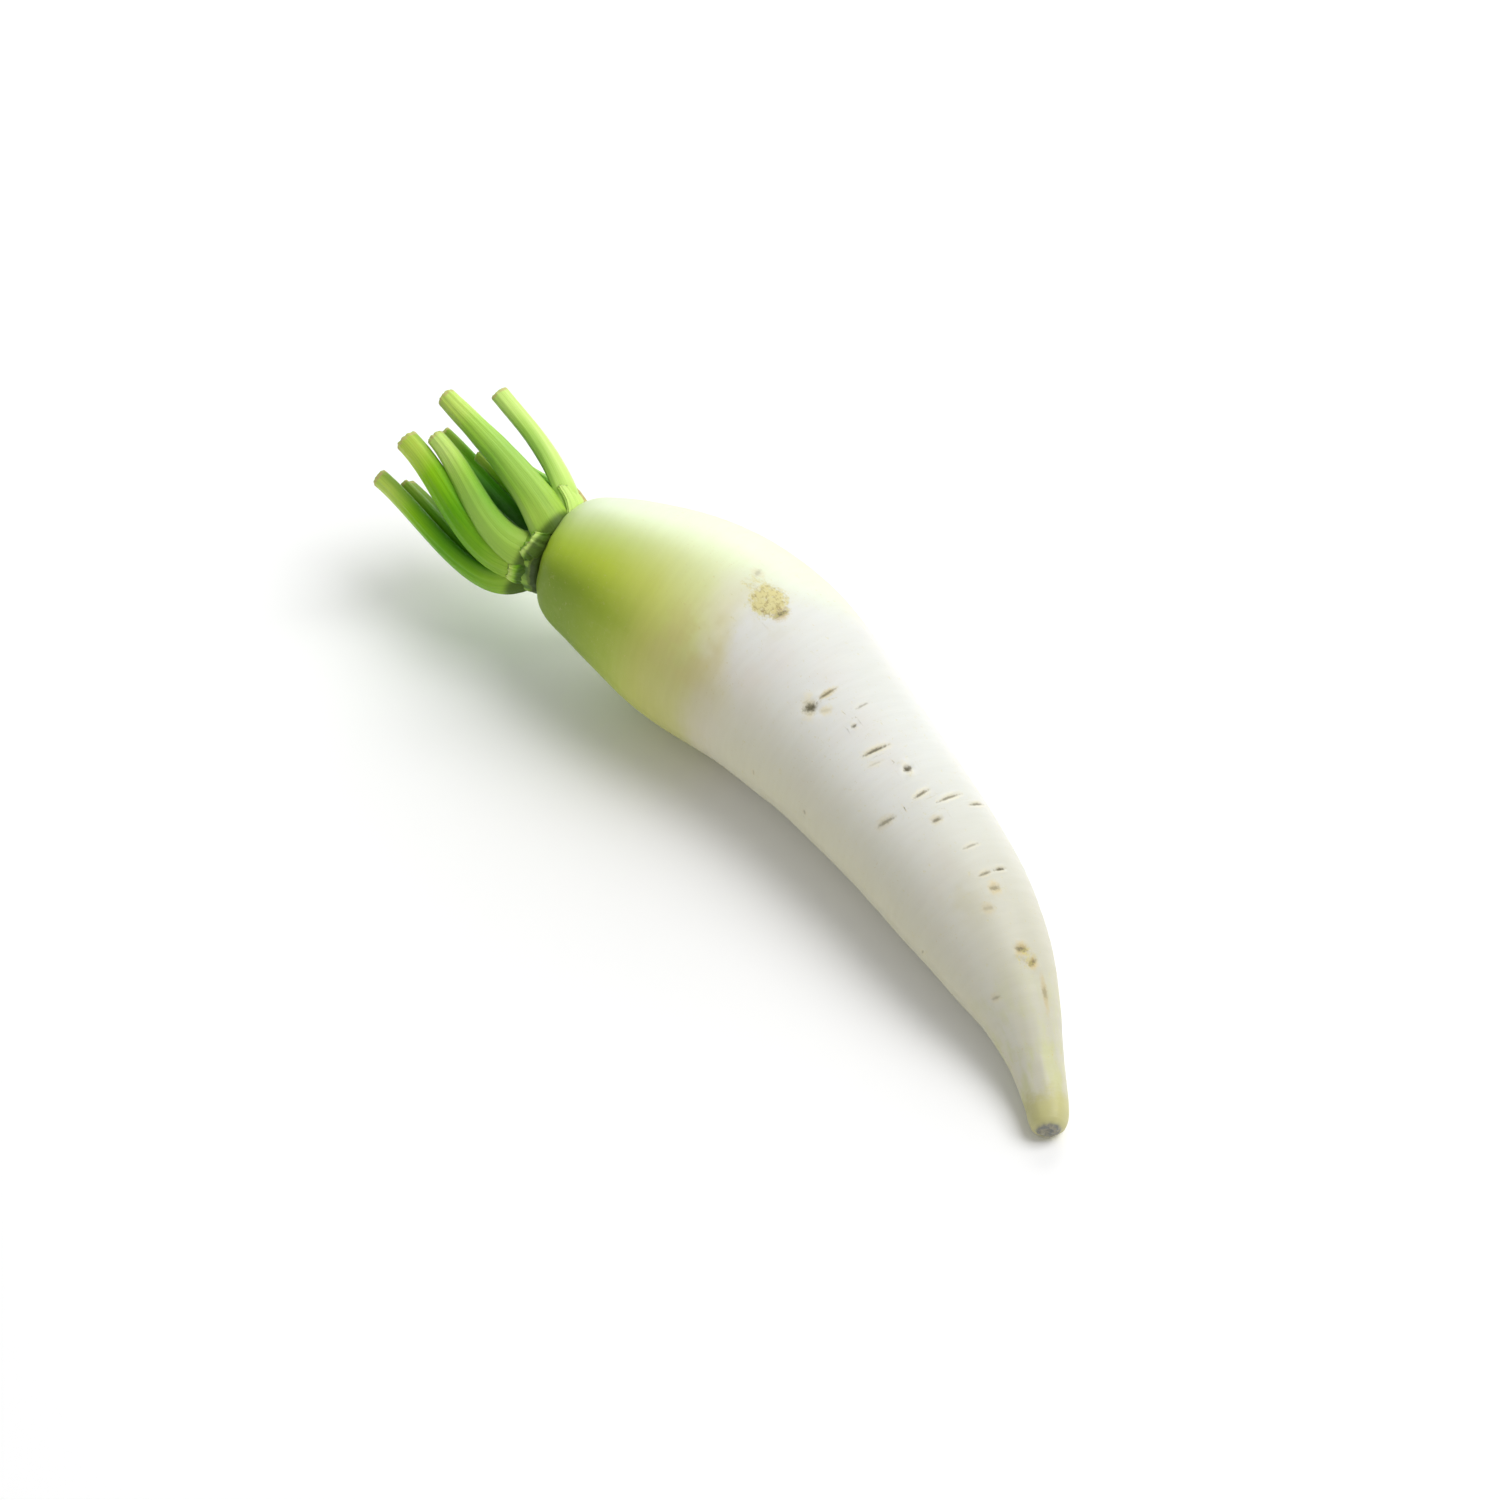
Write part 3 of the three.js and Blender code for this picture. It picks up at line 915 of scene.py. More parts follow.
BLUSH = (
    Patch(76.0, 50, 34.0, 36.0, 0.45),
    Patch(88.0, 7, 24.0, 24.0, 0.4),
    Patch(213.5, 12, 24.0, 22.0, 0.3),
    Patch(89.5, -80, 26.0, 26.0, 0.35),
    Patch(87.5, 150, 34.0, 30.0, 0.4),
)


@dataclass(frozen=True)
class Places:
    """A round body's points while it still lies straight along X.

    straight has a row for each, in metres. along is how far each is from the start in
    millimetres, around its angle from the top in degrees, positive towards -Y, and
    girth how far it is off the axis in metres.
    """

    straight: np.ndarray
    along: np.ndarray
    around: np.ndarray
    girth: np.ndarray

    @classmethod
    def on(cls, piece: Piece) -> "Places":
        """Measures a piece."""
        straight = points_of(piece)
        return cls(straight, straight[:, 0] / MM,
                   np.degrees(np.arctan2(-straight[:, 1], straight[:, 2])),
                   np.hypot(straight[:, 1], straight[:, 2]))

    def beside(self, spot: Mark | Patch) -> tuple[np.ndarray, np.ndarray]:
        """How far round and along the root each place is from a spot, in millimetres."""
        turn = turn_from(self.around, spot.around)
        return np.radians(turn) * self.girth / MM, self.along - spot.along


@dataclass
class Taproot:
    """The swollen root, from the neck to its broken tail. Millimetres and degrees.

    points are where its middle passes, profile its distances from the neck and radii,
    and tail_end the broken face, as distances back from its end and radii. spacing gives
    how close its rings are up to each distance: closest at the crease and the scars.
    green_length is where the green gives way to white at white_dip, the angle where it
    ends soonest, and dip_depth how much further it reaches elsewhere. The last angle, on
    the side that faces the key light, is where the painted shade and painted highlight on
    the root are measured round from; that side has the palest painted highlight.
    """

    points: tuple = (
        (-97.9, -29.0, 43.4), (-76.0, -19.2, 41.9), (-50.5, -9.2, 38.0),
        (-18.9, -1.6, 35.3), (14.4, 0.2, 31.0), (45.5, -1.3, 27.2), (80.7, -4.8, 24.1),
        (110.4, -9.6, 20.6), (139.6, -17.3, 14.4), (165.2, -28.5, 6.8),
        (176.0, -36.0, 5.4),
    )
    profile: tuple = (
        (0.0, 15.6), (0.8, 17.4), (2.5, 20.0), (5.5, 22.6), (9.5, 24.7), (22.5, 29.1),
        (37.5, 33.4), (52.5, 36.2), (67.5, 37.0), (84.5, 36.1), (103.5, 33.7),
        (118.5, 31.6), (134.5, 29.4), (150.5, 27.7), (168.5, 26.1), (185.5, 24.6),
        (201.5, 22.9), (216.5, 20.5), (231.5, 17.3), (246.5, 12.9), (261.5, 9.0),
        (276.5, 7.0), (283.5, 6.3), (286.8, 5.3),
    )
    tail_end: tuple = ((1.0, 4.6), (0.5, 4.1), (0.1, 3.5), (-0.3, 2.9), (-0.5, 2.4),
                       (-0.5, 1.8), (-0.3, 1.2), (-0.1, 0.6), (0.0, 0.0))
    spacing: tuple = ((4.0, 0.3), (98.0, 1.0), (250.0, 0.4), (278.0, 0.7), (286.8, 0.45))
    sides: int = 156
    green_length: float = 86.0
    white_dip: float = 18.0
    dip_depth: float = 22.0
    key_light_side: float = -25.0
    hidden_seed: int = 11

    def __post_init__(self) -> None:
        """Works out the root's line and its outline."""
        self.line = Line.through([Vector(place) * MM for place in self.points])
        self.outline = Line.through([Vector((a, r, 0.0)) * MM for a, r in self.profile]).places

    def radius(self, along: float) -> float:
        """The root's radius at a distance from the neck, in metres."""
        return float(np.interp(along, self.outline[:, 0], self.outline[:, 1]))

    def rings(self) -> list[float]:
        """Spaces the rings.

        Returns:
            Distances from the neck, in metres.
        """
        distances = []
        along = 0.0
        for end, step in self.spacing:
            while along < end:
                distances.append(along * MM)
                along += step
        return distances

    def build(self, finish: bpy.types.Material) -> Piece:
        """Spins the outline, adds its relief, bends it and dresses it.

        Args:
            finish: its material.

        Returns:
            The finished piece.
        """
        length = self.line.length
        corners = [(0.0, 0.0), (0.0, 7 * MM), (0.0, 12 * MM)]
        corners += [(along, self.radius(along)) for along in self.rings()]
        corners += [(length - back * MM, radius * MM) for back, radius in self.tail_end]
        piece = spun("taproot_look", corners, self.sides)
        skin = Places.on(piece)
        stump = smooth_step(length / MM - 0.7, length / MM - 0.1, skin.along)
        swelling = self.lumps(skin) + self.paint_marks(
            piece, [*SEEN_MARKS, *self.hidden_marks()], skin)
        soft = smooth_step(0.0, 12 * MM, skin.girth) * (1 - 0.5 * stump)
        grown = skin.straight.copy()
        grown[:, 1:] *= (1 + swelling * MM * soft / np.maximum(skin.girth, MM))[:, None]
        grown[:, 0] += ripple(skin.straight, 1.6 * MM, 4.0) * 0.8 * MM * stump
        bent = bend(grown, self.line)
        bent[:, 2] = np.maximum(bent[:, 2], 0.0)
        aside = np.abs(turn_from(skin.around, self.white_dip))
        edge = self.green_length + self.dip_depth * smooth_step(5.0, 50.0, aside)
        # The painted shade and highlight are measured round from the side facing the key light,
        # and spread further on the far side past it.
        turn = turn_from(skin.around, self.key_light_side)
        past_key_light = smooth_step(-10.0, -60.0, turn) * smooth_step(-175.0, -110.0, turn)
        paint(piece, straight=tuple(skin.straight.T), greening=skin.along / edge,
              turned=np.abs(turn) * (1 - 0.4 * past_key_light), broken=stump,
              russet=self.patches(RUSSET, skin), blush=self.patches(BLUSH, skin))
        move_points(piece, bent)
        return dress(piece, "taproot", finish)

    def lumps(self, skin: Places) -> np.ndarray:
        """Works out the root's uneven growth.

        Args:
            skin: the root's points.

        Returns:
            How far each stands out, in millimetres.
        """
        straight, along, around = skin.straight, skin.along, skin.around
        broad = ripple(straight, 42 * MM, 1.3) * 0.55
        small = ripple(straight, 13 * MM, 7.9) * 0.12
        pleats = np.cos(np.radians(around * 13)) + 0.6 * np.cos(np.radians(around * 7 + 40))
        neck = pleats * 0.2 * smooth_step(11.0, 1.0, along)
        drawn = straight * np.array((0.25, 1.0, 1.0))
        shrivel = ripple(drawn, 2.6 * MM, 3.1) * 0.28 * smooth_step(244.0, 275.0, along)
        rings = straight * np.array((1.0, 0.12, 0.12))
        belts = ripple(rings, 3.4 * MM, 5.5) * 0.07 * smooth_step(95.0, 140.0, along)
        return broad + small + neck + shrivel + belts

    def hidden_marks(self) -> list[Mark]:
        """Grows the second row of scars, opposite the first, and a few strays.

        Returns:
            The marks, the same ones each time.
        """
        chance = random.Random(self.hidden_seed)
        marks = []
        along = 96.0
        while along < 262.0:
            marks.append(Mark(along, 186 + chance.gauss(0, 11), chance.uniform(3.5, 10.5),
                              chance.uniform(0.9, 1.9), slant=chance.gauss(0, 9),
                              depth=chance.uniform(0.2, 0.5), dark=chance.uniform(0.3, 0.9),
                              halo=chance.uniform(0.3, 0.9), warm=chance.uniform(0.1, 0.8)))
            along += chance.uniform(6.0, 13.0)
        for _ in range(16):
            marks.append(Mark(chance.uniform(60, 275), chance.choice((-1, 1))
                              * chance.uniform(68, 140), chance.uniform(1.0, 3.4),
                              chance.uniform(0.8, 1.2), slant=chance.gauss(0, 15),
                              depth=0.12, dark=chance.uniform(0.15, 0.45),
                              halo=chance.uniform(0.1, 0.4), warm=0.5))
        return marks

    def paint_marks(self, piece: Piece, marks: list[Mark],
                    skin: Places) -> np.ndarray:
        """Sinks each scar between raised lips, and tells the material where it is.

        Args:
            piece: the root.
            marks: the scars.
            skin: the root's points.

        Returns:
            How far each stands out, in millimetres.
        """
        count = len(skin.along)
        swelling, best, runner_up = (np.zeros(count) for _ in range(3))
        place, look = (np.zeros((3, count)) for _ in range(2))
        for mark in marks:
            round_it, down_it = skin.beside(mark)
            slant = math.radians(mark.slant)
            lengthwise = round_it * math.cos(slant) + down_it * math.sin(slant)
            crosswise = down_it * math.cos(slant) - round_it * math.sin(slant)
            lengthwise = lengthwise / (mark.length / 2)
            crosswise = crosswise / (mark.width / 2)
            slit = np.exp(-(crosswise**2)) * np.sqrt(np.clip(1 - lengthwise**2, 0.0, None))
            lips = np.exp(-((np.abs(crosswise) - 2.3) ** 2)) * np.clip(1.4 - lengthwise**2, 0, 1)
            swelling += mark.depth * (0.45 * lips - slit)
            presence = 1 - np.maximum(np.abs(lengthwise) / 2.2, np.abs(crosswise) / 5.5)
            runner_up = np.maximum(runner_up, np.minimum(best, presence))
            nearer = presence > best
            best[nearer] = presence[nearer]
            place[:, nearer] = np.stack((lengthwise, crosswise, presence))[:, nearer]
            look[:, nearer] = np.array((mark.dark, mark.halo, mark.warm))[:, None]
        between_two = smooth_step(0.0, 0.15, runner_up) * smooth_step(0.4, 0.05, best - runner_up)
        look[:2] *= 1 - between_two
        paint(piece, mark_place=tuple(place), mark_tone=tuple(look))
        return swelling

    def patches(self, patches: tuple[Patch, ...], skin: Places) -> np.ndarray:
        """Works out how strongly the patches cover each place.

        Args:
            patches: the patches.
            skin: the root's points.

        Returns:
            0 off the patches to 1 at their middles.
        """
        cover = np.zeros(len(skin.along))
        for patch in patches:
            round_it, down_it = skin.beside(patch)
            far = np.hypot(round_it / (patch.length / 2), down_it / (patch.width / 2))
            cover = np.maximum(cover, patch.strength * smooth_step(1.25, 0.45, far))
        return cover


# ------------------------------------------------------------------ the tuft


CUT_FACE = 0.999


@dataclass
class Tuft:
    """Directions and places round the stem, which the stalks are set out from.

    lean is the way that its axis points, away from the root.
    """

    root: Taproot
    lean: tuple[float, float, float] = (-0.961, -0.135, 0.242)

    def __post_init__(self) -> None:
        """Takes the neck's place and heading from the root."""
        place, heading = self.root.line.at(np.zeros(1))
        self.neck = Vector(place[0])
        self.neck_axis = -Vector(heading[0])
        self.axis = Vector(self.lean).normalized()
        self.top = (UP - self.axis * UP.dot(self.axis)).normalized()
        self.flank = self.axis.cross(self.top)

    def outward(self, degrees: float) -> Vector:
        """The direction away from the axis: 0 is up, 90 towards +Y."""
        angle = math.radians(degrees)
        return self.top * math.cos(angle) + self.flank * math.sin(angle)

    def place(self, degrees: float, spread: float, height: float) -> Vector:
        """The place at an angle, off the axis and above the neck in millimetres."""
        return self.neck + self.axis * height * MM + self.outward(degrees) * spread * MM


@dataclass(frozen=True)
class Stem:
    """The short stem between the neck and the stalks. Millimetres.

    gap is how far off the neck it starts, outline its heights and radii, rows how many
    rings it has and ridges how many pleats.
    """

    tuft: Tuft
    height: float = 13.0
    gap: float = 0.3
    outline: tuple = ((0.0, 14.2), (0.5, 15.2), (2.2, 16.4), (4.2, 16.6), (6.5, 15.7),
                      (9.0, 12.8), (11.4, 8.0), (12.4, 4.0))
    rows: int = 40
    sides: int = 120
    ridges: int = 15

    def build(self, finish: bpy.types.Material) -> Piece:
        """Spins the stem, pleats it between the leaves, bends it and dresses it.

        Args:
            finish: its material.

        Returns:
            The finished piece.
        """
        neck, half = self.tuft.neck, self.height / 2 * MM
        middle = neck + self.tuft.neck_axis * half
        line = Line.bezier([neck + self.tuft.neck_axis * self.gap * MM, middle,
                            middle + self.tuft.axis * half])
        outline = Line.through([Vector((a, r, 0.0)) * MM for a, r in self.outline])
        wall = outline.at(np.linspace(0.0, outline.length, self.rows))[0]
        corners = [(0.0, 0.0), *[(a, r) for a, r, _ in wall], (line.length, 0.0)]
        piece = spun("stem_look", corners, self.sides)
        straight = points_of(piece)
        around = np.arctan2(-straight[:, 1], straight[:, 2])
        girth = np.hypot(straight[:, 1], straight[:, 2])
        wander = ripple(straight, 9 * MM, 2.2)
        ridge = np.cos(around * self.ridges + wander * 3)
        rough = ripple(straight, 2.2 * MM, 6.6)
        out = (0.32 * ridge + 0.22 * rough + 0.35 * wander) * MM
        out *= smooth_step(6 * MM, 14 * MM, girth)
        grown = straight.copy()
        grown[:, 1:] *= (1 + out / np.maximum(girth, MM))[:, None]
        # Dryness rises towards the neck: dried tissue and painted shade in the crease.
        low = smooth_step(3.2 * MM, 0.6 * MM, straight[:, 0] + wander * 1.2 * MM)
        paint(piece, straight=tuple(straight.T), relief=0.5 + 0.35 * ridge + 0.3 * rough,
              dryness=1.3 * low + 0.18)
        move_points(piece, bend(grown, line))
        return dress(piece, "stem", finish)


@dataclass(frozen=True)
class Blade:
    """A stalk or a stub of one, as a rod shaped along a line. Millimetres.

    base and tip are its widths at either end, thickness how deep it is there, hug the
    radius that its base is curled round, cup how deep its cut end is dished, and
    cap_rings the steps in which that end is closed. rim is how much it pales towards the
    cut, and shadow how far out of the crease painted shade darkens it. paleness is its
    own paler tone, which also carries a painted highlight along its crown. What lies past
    CUT_FACE, as a share of its length, is its cut face.
    """

    base: float
    tip: float
    thickness: tuple[float, float]
    sheath: float = 0.0
    hug: float = 17.0
    groove: float = 0.0
    wing: float = 0.0
    rib: float = 0.1
    slant: float = 0.0
    cup: float = 0.7
    ragged: float = 0.35
    paleness: float = 0.0
    rim: float = 0.0
    dryness: float = 0.0
    shadow: float = 3.6
    sides: int = 56
    rows: int = 84
    seed: float = 0.0
    cap_rings: tuple = (0.035, 0.06, 0.14, 0.2, 0.2, 0.18)

    def build(self, name: str, line: Line, facing: Vector, tuft: Tuft) -> Piece:
        """Shapes the rod along its line and cuts it off.

        Args:
            name: the piece's name.
            line: the line through its middle, from the stem outwards.
            facing: the direction away from the stem's axis.
            tuft: where the stem is, to lay painted shade on what grows in the crease.

        Returns:
            The finished piece.
        """
        bm = bmesh.new()
        bmesh.ops.create_cone(bm, cap_ends=True, segments=self.sides, radius1=1.0,
                              radius2=1.0, depth=1.0)
        long_edges = [e for e in bm.edges if abs(e.verts[0].co.z - e.verts[1].co.z) > 0.5]
        bmesh.ops.subdivide_edges(bm, edges=long_edges, cuts=self.rows)
        cap = next(face for face in bm.faces if face.normal.z > 0.9)
        for thickness in self.cap_rings:
            bmesh.ops.inset_region(bm, faces=[cap], thickness=thickness)
        bmesh.ops.poke(bm, faces=[cap])
        piece = make_piece(name, bm)
        rod = points_of(piece)
        run = rod[:, 2] + 0.5
        angle = np.arctan2(rod[:, 0], rod[:, 1])
        fill = np.hypot(rod[:, 0], rod[:, 1])
        opened = smooth_step(0.999, 0.99, fill) * (run > CUT_FACE)
        across, out = self.section(run, angle, rod)
        across = across * fill * MM
        out = out * fill * MM
        curl = across**2 / (2 * self.hug * MM) * np.clip(1 - run / 0.6, 0.0, 1.0)
        ahead = self.cut(run, fill, out, rod) * MM
        place, heading = line.at(run * line.length)
        away = np.array(facing)[None, :]
        away = unit(away - heading * (heading @ np.array(facing))[:, None])
        sideways = np.cross(heading, away)
        moved = place + sideways * across[:, None] + away * (out - curl)[:, None]
        moved += heading * ahead[:, None]
        margin = smooth_step(0.9, 1.0, np.abs(np.sin(angle))) * smooth_step(0.5, 0.1, run)
        # Painted highlight along each stalk's outward crown, added to its own paleness.
        crown_highlight = smooth_step(0.35, 1.0, np.cos(angle)) * smooth_step(0.05, 0.3, run)
        pale = self.paleness + 0.4 * margin * self.wing + crown_highlight * (0.04 + self.paleness)
        pale += self.rim * smooth_step(0.62, 0.95, run)
        # Painted shade on the side facing the stem's axis, strongest at the base.
        inward_shade_mask = smooth_step(0.5, -0.35, np.cos(angle)) * (1 - 0.4 * run)
        # Painted shade near the crease: the lower a place lies above the neck, the darker it is
        # painted.
        depth = (moved - np.array(tuft.neck)) @ np.array(tuft.axis) / MM
        paint(piece, straight=(across, run * line.length, out),
              fibre=(np.sin(angle), np.cos(angle), run),
              cut_place=(fill * np.sin(angle), fill * np.cos(angle), opened),
              growth=(pale, np.full(len(run), self.dryness),
                      inward_shade_mask * max(0.0, 1 - self.paleness)),
              buried=smooth_step(self.shadow, 0.4 * self.shadow, depth))
        move_points(piece, moved)
        return piece

    def section(self, run: np.ndarray, angle: np.ndarray,
                rod: np.ndarray) -> tuple[np.ndarray, np.ndarray]:
        """Works out the section: round outside, grooved inside, ribbed lengthwise.

        Args:
            run: how far along the rod, 0 to 1.
            angle: the angle from the outward direction.
            rod: the places on the unit rod.

        Returns:
            How far each place is sideways and outwards, in millimetres.
        """
        clasp = np.clip(1 - run / 0.45, 0.0, None) ** 2
        half = (self.base + (self.tip - self.base) * run) / 2 * (1 + self.sheath * clasp)
        half *= 1 + 0.03 * ripple(rod * np.array((0.0, 0.0, 1.0)), 0.16, self.seed)
        deep = self.thickness[0] + (self.thickness[1] - self.thickness[0]) * run
        side, front = np.sin(angle), np.cos(angle)
        inner = front < 0
        out = deep * np.where(inner, -0.38 * np.abs(front) ** 0.7, 0.62 * front)
        scoop = self.groove * deep * np.exp(-((side / 0.5) ** 2)) * inner
        wings = self.wing * np.exp(-(((np.abs(side) - 1.0) / 0.14) ** 2)) * clasp
        ribs = np.cos(angle * 11 + self.seed) + 0.7 * np.cos(angle * 17 + self.seed * 2)
        swell = self.rib * ribs * (0.35 + 0.65 * ~inner) * smooth_step(0.0, 0.12, run)
        swell += 0.12 * ripple(rod * np.array((1.2, 1.2, 4.0)), 0.8, self.seed + 9)
        across = half * side + np.sign(side) * wings + side * swell
        return across, out + scoop + wings * 0.5 + front * swell

    def cut(self, run: np.ndarray, fill: np.ndarray, out: np.ndarray,
            rod: np.ndarray) -> np.ndarray:
        """Works out the cut end: slanted, ragged, and hollowed as the pith dries.

        Args:
            run: how far along the rod, 0 to 1.
            fill: how far out from the middle of the rod, 0 to 1.
            out: how far outwards each place is, in metres.
            rod: the places on the unit rod.

        Returns:
            How far each place is pushed along the line, in millimetres.
        """
        end = smooth_step(0.9, 1.0, run)
        tilt = self.slant * out / MM
        teeth = self.ragged * ripple(rod, 0.22, self.seed + 5.0)
        dished = self.cup * smooth_step(1.0, 0.62, fill) * (run > CUT_FACE)
        rounding = 0.35 * smooth_step(0.96, 1.0, fill) * (run > CUT_FACE)
        return (tilt + teeth) * end - dished - rounding


@dataclass(frozen=True)
class Stalk:
    """A leaf stalk's place round the stem. Degrees and millimetres.

    rooted_at and cut_at are its angles at the stem and at its cut end, spread is how far
    the cut end stands off the axis, reach its distance above the neck, base and tip its
    width at either end, flare how many degrees off the axis it starts out, and rim how
    much it pales towards its cut end. An inner one grows in the middle of the tuft.
    """

    node: str
    rooted_at: float
    cut_at: float
    spread: float
    reach: float
    base: float
    tip: float
    flare: float
    paleness: float
    wing: float = 0.5
    rim: float = 0.1
    inner: bool = False

    def line(self, tuft: Tuft) -> Line:
        """Draws the stalk's line, out from the stem and then up beside its axis.

        Args:
            tuft: the directions round the stem.

        Returns:
            The line through its middle.
        """
        radius, height = (5.0, 9.0) if self.inner else (11.5, 3.0)
        start = tuft.place(self.rooted_at, radius, height)
        end = tuft.place(self.cut_at, self.spread, self.reach)
        reach = (end - start).length
        flare = math.radians(self.flare)
        leaving = tuft.axis * math.cos(flare) + tuft.outward(self.rooted_at) * math.sin(flare)
        arriving = (end - start).normalized().lerp(tuft.axis, 0.6)
        return Line.bezier([start, start + leaving * reach * 0.33,
                            end - arriving * reach * 0.36, end])

    def build(self, tuft: Tuft, seed: float, finish: bpy.types.Material) -> Piece:
        """Builds the stalk and dresses it.

        Args:
            tuft: the directions round the stem.
            seed: makes its small unevenness its own.
            finish: its material.

        Returns:
            The finished piece.
        """
        near = self.cut_at + 360 * round((self.rooted_at - self.cut_at) / 360)
        facing = tuft.outward(self.rooted_at if self.inner else (self.rooted_at + near) / 2)
        blade = Blade(
            base=self.base, tip=self.tip, thickness=(self.base * 0.6, self.tip * 0.85),
            sheath=0.0 if self.inner else 0.18, groove=0.22,
            wing=0.0 if self.inner else self.wing, slant=0.12 * math.sin(seed * 2.3),
            paleness=self.paleness, rim=self.rim, shadow=6.4, seed=seed)
        piece = blade.build(self.node + "_look", self.line(tuft), facing, tuft)
        return dress(piece, self.node, finish)


STALKS = (
    Stalk("leaf_stalk_1", -122, -115, 24, 68, 13, 8.2, 80, -0.05, rim=0.3),
    Stalk("leaf_stalk_2", -73, -36, 13.6, 58.5, 14.0, 6.4, 44, 0.2, rim=0.6),
    Stalk("leaf_stalk_3", -3, 19, 14.8, 68, 15.0, 7.4, 30, 0.2, wing=1.2),
    Stalk("leaf_stalk_4", 42, 71, 25, 60.5, 12.5, 8.6, 32, 0.55, rim=0.5),
    Stalk("leaf_stalk_5", -94, -66, 14.8, 66, 13.5, 9, 52, -0.05),
    Stalk("leaf_stalk_6", -142, -134, 20.6, 62.5, 12.5, 7.6, 62, 0.0),
    Stalk("leaf_stalk_7", 92, 122, 23, 46, 12.5, 8, 48, 0.1),
    Stalk("leaf_stalk_8", 134, 152, 22, 51, 12.5, 7.5, 56, 0.1),
    Stalk("leaf_stalk_9", 176, -176, 21, 52, 12.5, 7.5, 60, 0.1),
    Stalk("inner_leaf_stalk_1", 160, 140, 9.5, 68.5, 9, 6.2, 0, -0.3, inner=True),
    Stalk("inner_leaf_stalk_2", 20, 40, 5, 47, 7, 5, 0, 0.0, inner=True),
    Stalk("inner_leaf_stalk_3", -110, -100, 7, 50, 7, 5, 0, 0.0, inner=True),
)


@dataclass(frozen=True)
class Stub:
    """The stub of an older leaf, cut close to the stem. Degrees and millimetres."""

    node: str
    angle: float
    width: float
    height: float
    paleness: float = 0.35
    dryness: float = 0.1
    ragged: float = 1.0
    slant: float = -0.3
    taper: float = 0.42
    thickness: float = 2.8

    def build(self, tuft: Tuft, seed: float, finish: bpy.types.Material) -> Piece:
        """Builds the stub and dresses it.

        Args:
            tuft: the directions round the stem.
            seed: makes its small unevenness its own.
            finish: its material.

        Returns:
            The finished piece.
        """
        line = Line.bezier([tuft.place(self.angle, 13.4, 0.4),
                            tuft.place(self.angle, 18.2, self.height * 0.35),
                            tuft.place(self.angle, 19.0, self.height)])
        blade = Blade(
            base=self.width, tip=self.width * (1 - self.taper),
            thickness=(self.thickness, self.thickness * 0.8), hug=13.0, wing=0.3, rib=0.2,
            slant=self.slant, cup=0.9, ragged=self.ragged, paleness=self.paleness, rim=0.6,
            dryness=self.dryness, sides=72, rows=36, seed=seed)
        piece = blade.build(self.node + "_look", line, tuft.outward(self.angle), tuft)
        return dress(piece, self.node, finish)


STUBS = (
    Stub("cut_leaf_base_1", -94, 15, 6.0, paleness=0.1),
    Stub("cut_leaf_base_2", -46, 15, 4.6, paleness=0.3),
    Stub("cut_leaf_base_3", 36, 14, 13.5, paleness=0.95, dryness=0.15),
    Stub("cut_leaf_base_4", 62, 12, 13, paleness=0.6, dryness=0.8, ragged=1.4),
    Stub("cut_leaf_base_5", 168, 14, 9),
)


# ------------------------------------------------------------------ studio


@dataclass(frozen=True)
class SoftLight:
    """A square lamp that faces a place. Metres and watts."""

    name: str
    place: tuple[float, float, float]
    size: float
    power: float
    aim: tuple[float, float, float] = (0.0, 0.0, 0.03)

    def build(self) -> None:
        """Hangs the lamp."""
        lamp = bpy.data.lights.new(self.name, "AREA")
        lamp.size = self.size
        lamp.energy = self.power
        holder = bpy.data.objects.new(self.name, lamp)
        holder.location = self.place
        facing = Vector(self.aim) - Vector(self.place)
        holder.rotation_euler = facing.to_track_quat("-Z", "Y").to_euler()
        bpy.context.scene.collection.objects.link(holder)


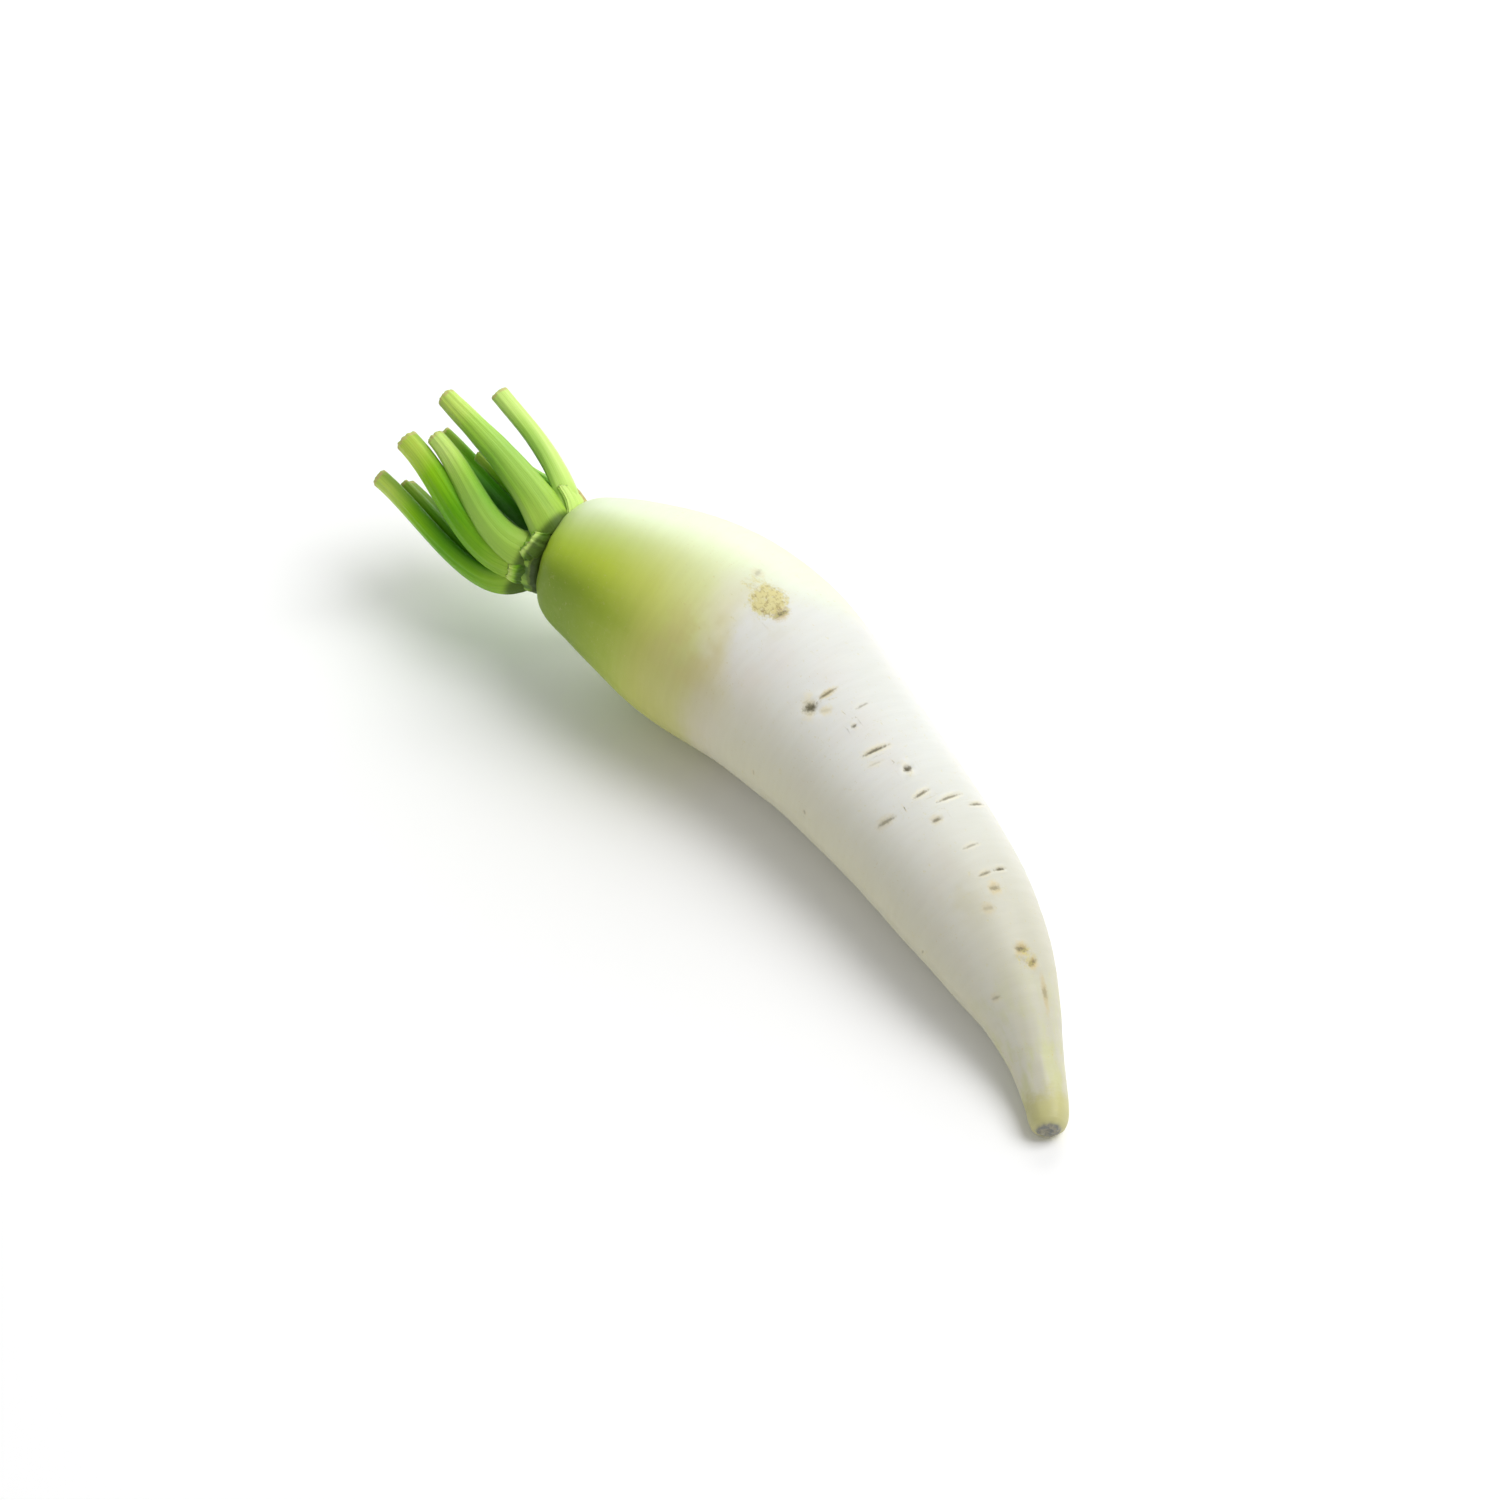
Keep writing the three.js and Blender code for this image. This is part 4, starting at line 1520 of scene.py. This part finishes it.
@dataclass(frozen=True)
class Studio:
    """A white table, soft lamps and the camera that looks down on the radish.

    The camera's aim, distance, lens and sensor are in millimetres, its bearing and
    height in degrees, and half the table's width in metres.
    """

    lamps: tuple[SoftLight, ...] = (
        SoftLight("key", (1.05, 1.47, 3.0), 2.4, 89.0),
        SoftLight("back", (-1.1, 1.15, 0.85), 1.4, 15.0),
        SoftLight("fill", (0.9, -2.0, 1.6), 2.0, 5.0),
    )
    aim: tuple[float, float, float] = (-15.97, -8.19, 0.0)
    bearing: float = 53.1
    height: float = 46.0
    distance: float = 1225.0
    lens: float = 85.0
    sensor: float = 36.0
    half_table: float = 5.0
    daylight: float = 0.35

    def build(self) -> None:
        """Sets up the table, the lights, the surroundings and the camera."""
        self.table()
        for lamp in self.lamps:
            lamp.build()
        world = bpy.data.worlds.new("studio")
        world.use_nodes = True
        sky = world.node_tree.nodes["Background"]
        sky.inputs["Color"].default_value = (1.0, 1.0, 1.0, 1.0)
        sky.inputs["Strength"].default_value = self.daylight
        bpy.context.scene.world = world
        bpy.context.scene.view_settings.view_transform = "Standard"
        self.camera()

    def table(self) -> None:
        """Lays the white board that the radish rests on."""
        bm = bmesh.new()
        bmesh.ops.create_grid(bm, x_segments=4, y_segments=4, size=self.half_table)
        board = make_piece("white_table", bm)
        board.data.materials.append(FloorFinish().build())

    def camera(self) -> None:
        """Places the camera."""
        bearing, height = math.radians(self.bearing), math.radians(self.height)
        away = Vector((math.sin(bearing) * math.cos(height),
                       -math.cos(bearing) * math.cos(height), math.sin(height)))
        lens = bpy.data.cameras.new("view")
        lens.lens = self.lens
        lens.sensor_width = self.sensor
        camera = bpy.data.objects.new("view", lens)
        camera.location = (Vector(self.aim) + away * self.distance) * MM
        camera.rotation_euler = (-away).to_track_quat("-Z", "Y").to_euler()
        bpy.context.scene.collection.objects.link(camera)
        bpy.context.scene.camera = camera


def report(piece: Piece) -> None:
    """Logs a finished piece."""
    log.info("%s: %d faces", piece.name, len(piece.data.polygons))


def main() -> None:
    """Builds the radish piece by piece, then the studio round it."""
    logging.basicConfig(level=logging.INFO, format="%(name)s: %(message)s")
    root = Taproot()
    tuft = Tuft(root)
    report(root.build(RootFinish().build()))
    report(Stem(tuft).build(StemFinish().build()))
    stalk_skin = StalkFinish().build()
    for parts, first_seed, seed_step in ((STUBS, 20.0, 3.1), (STALKS, 1.0, 2.7)):
        for count, part in enumerate(parts):
            report(part.build(tuft, first_seed + count * seed_step, stalk_skin))
    Studio().build()


if __name__ == "__main__":
    main()
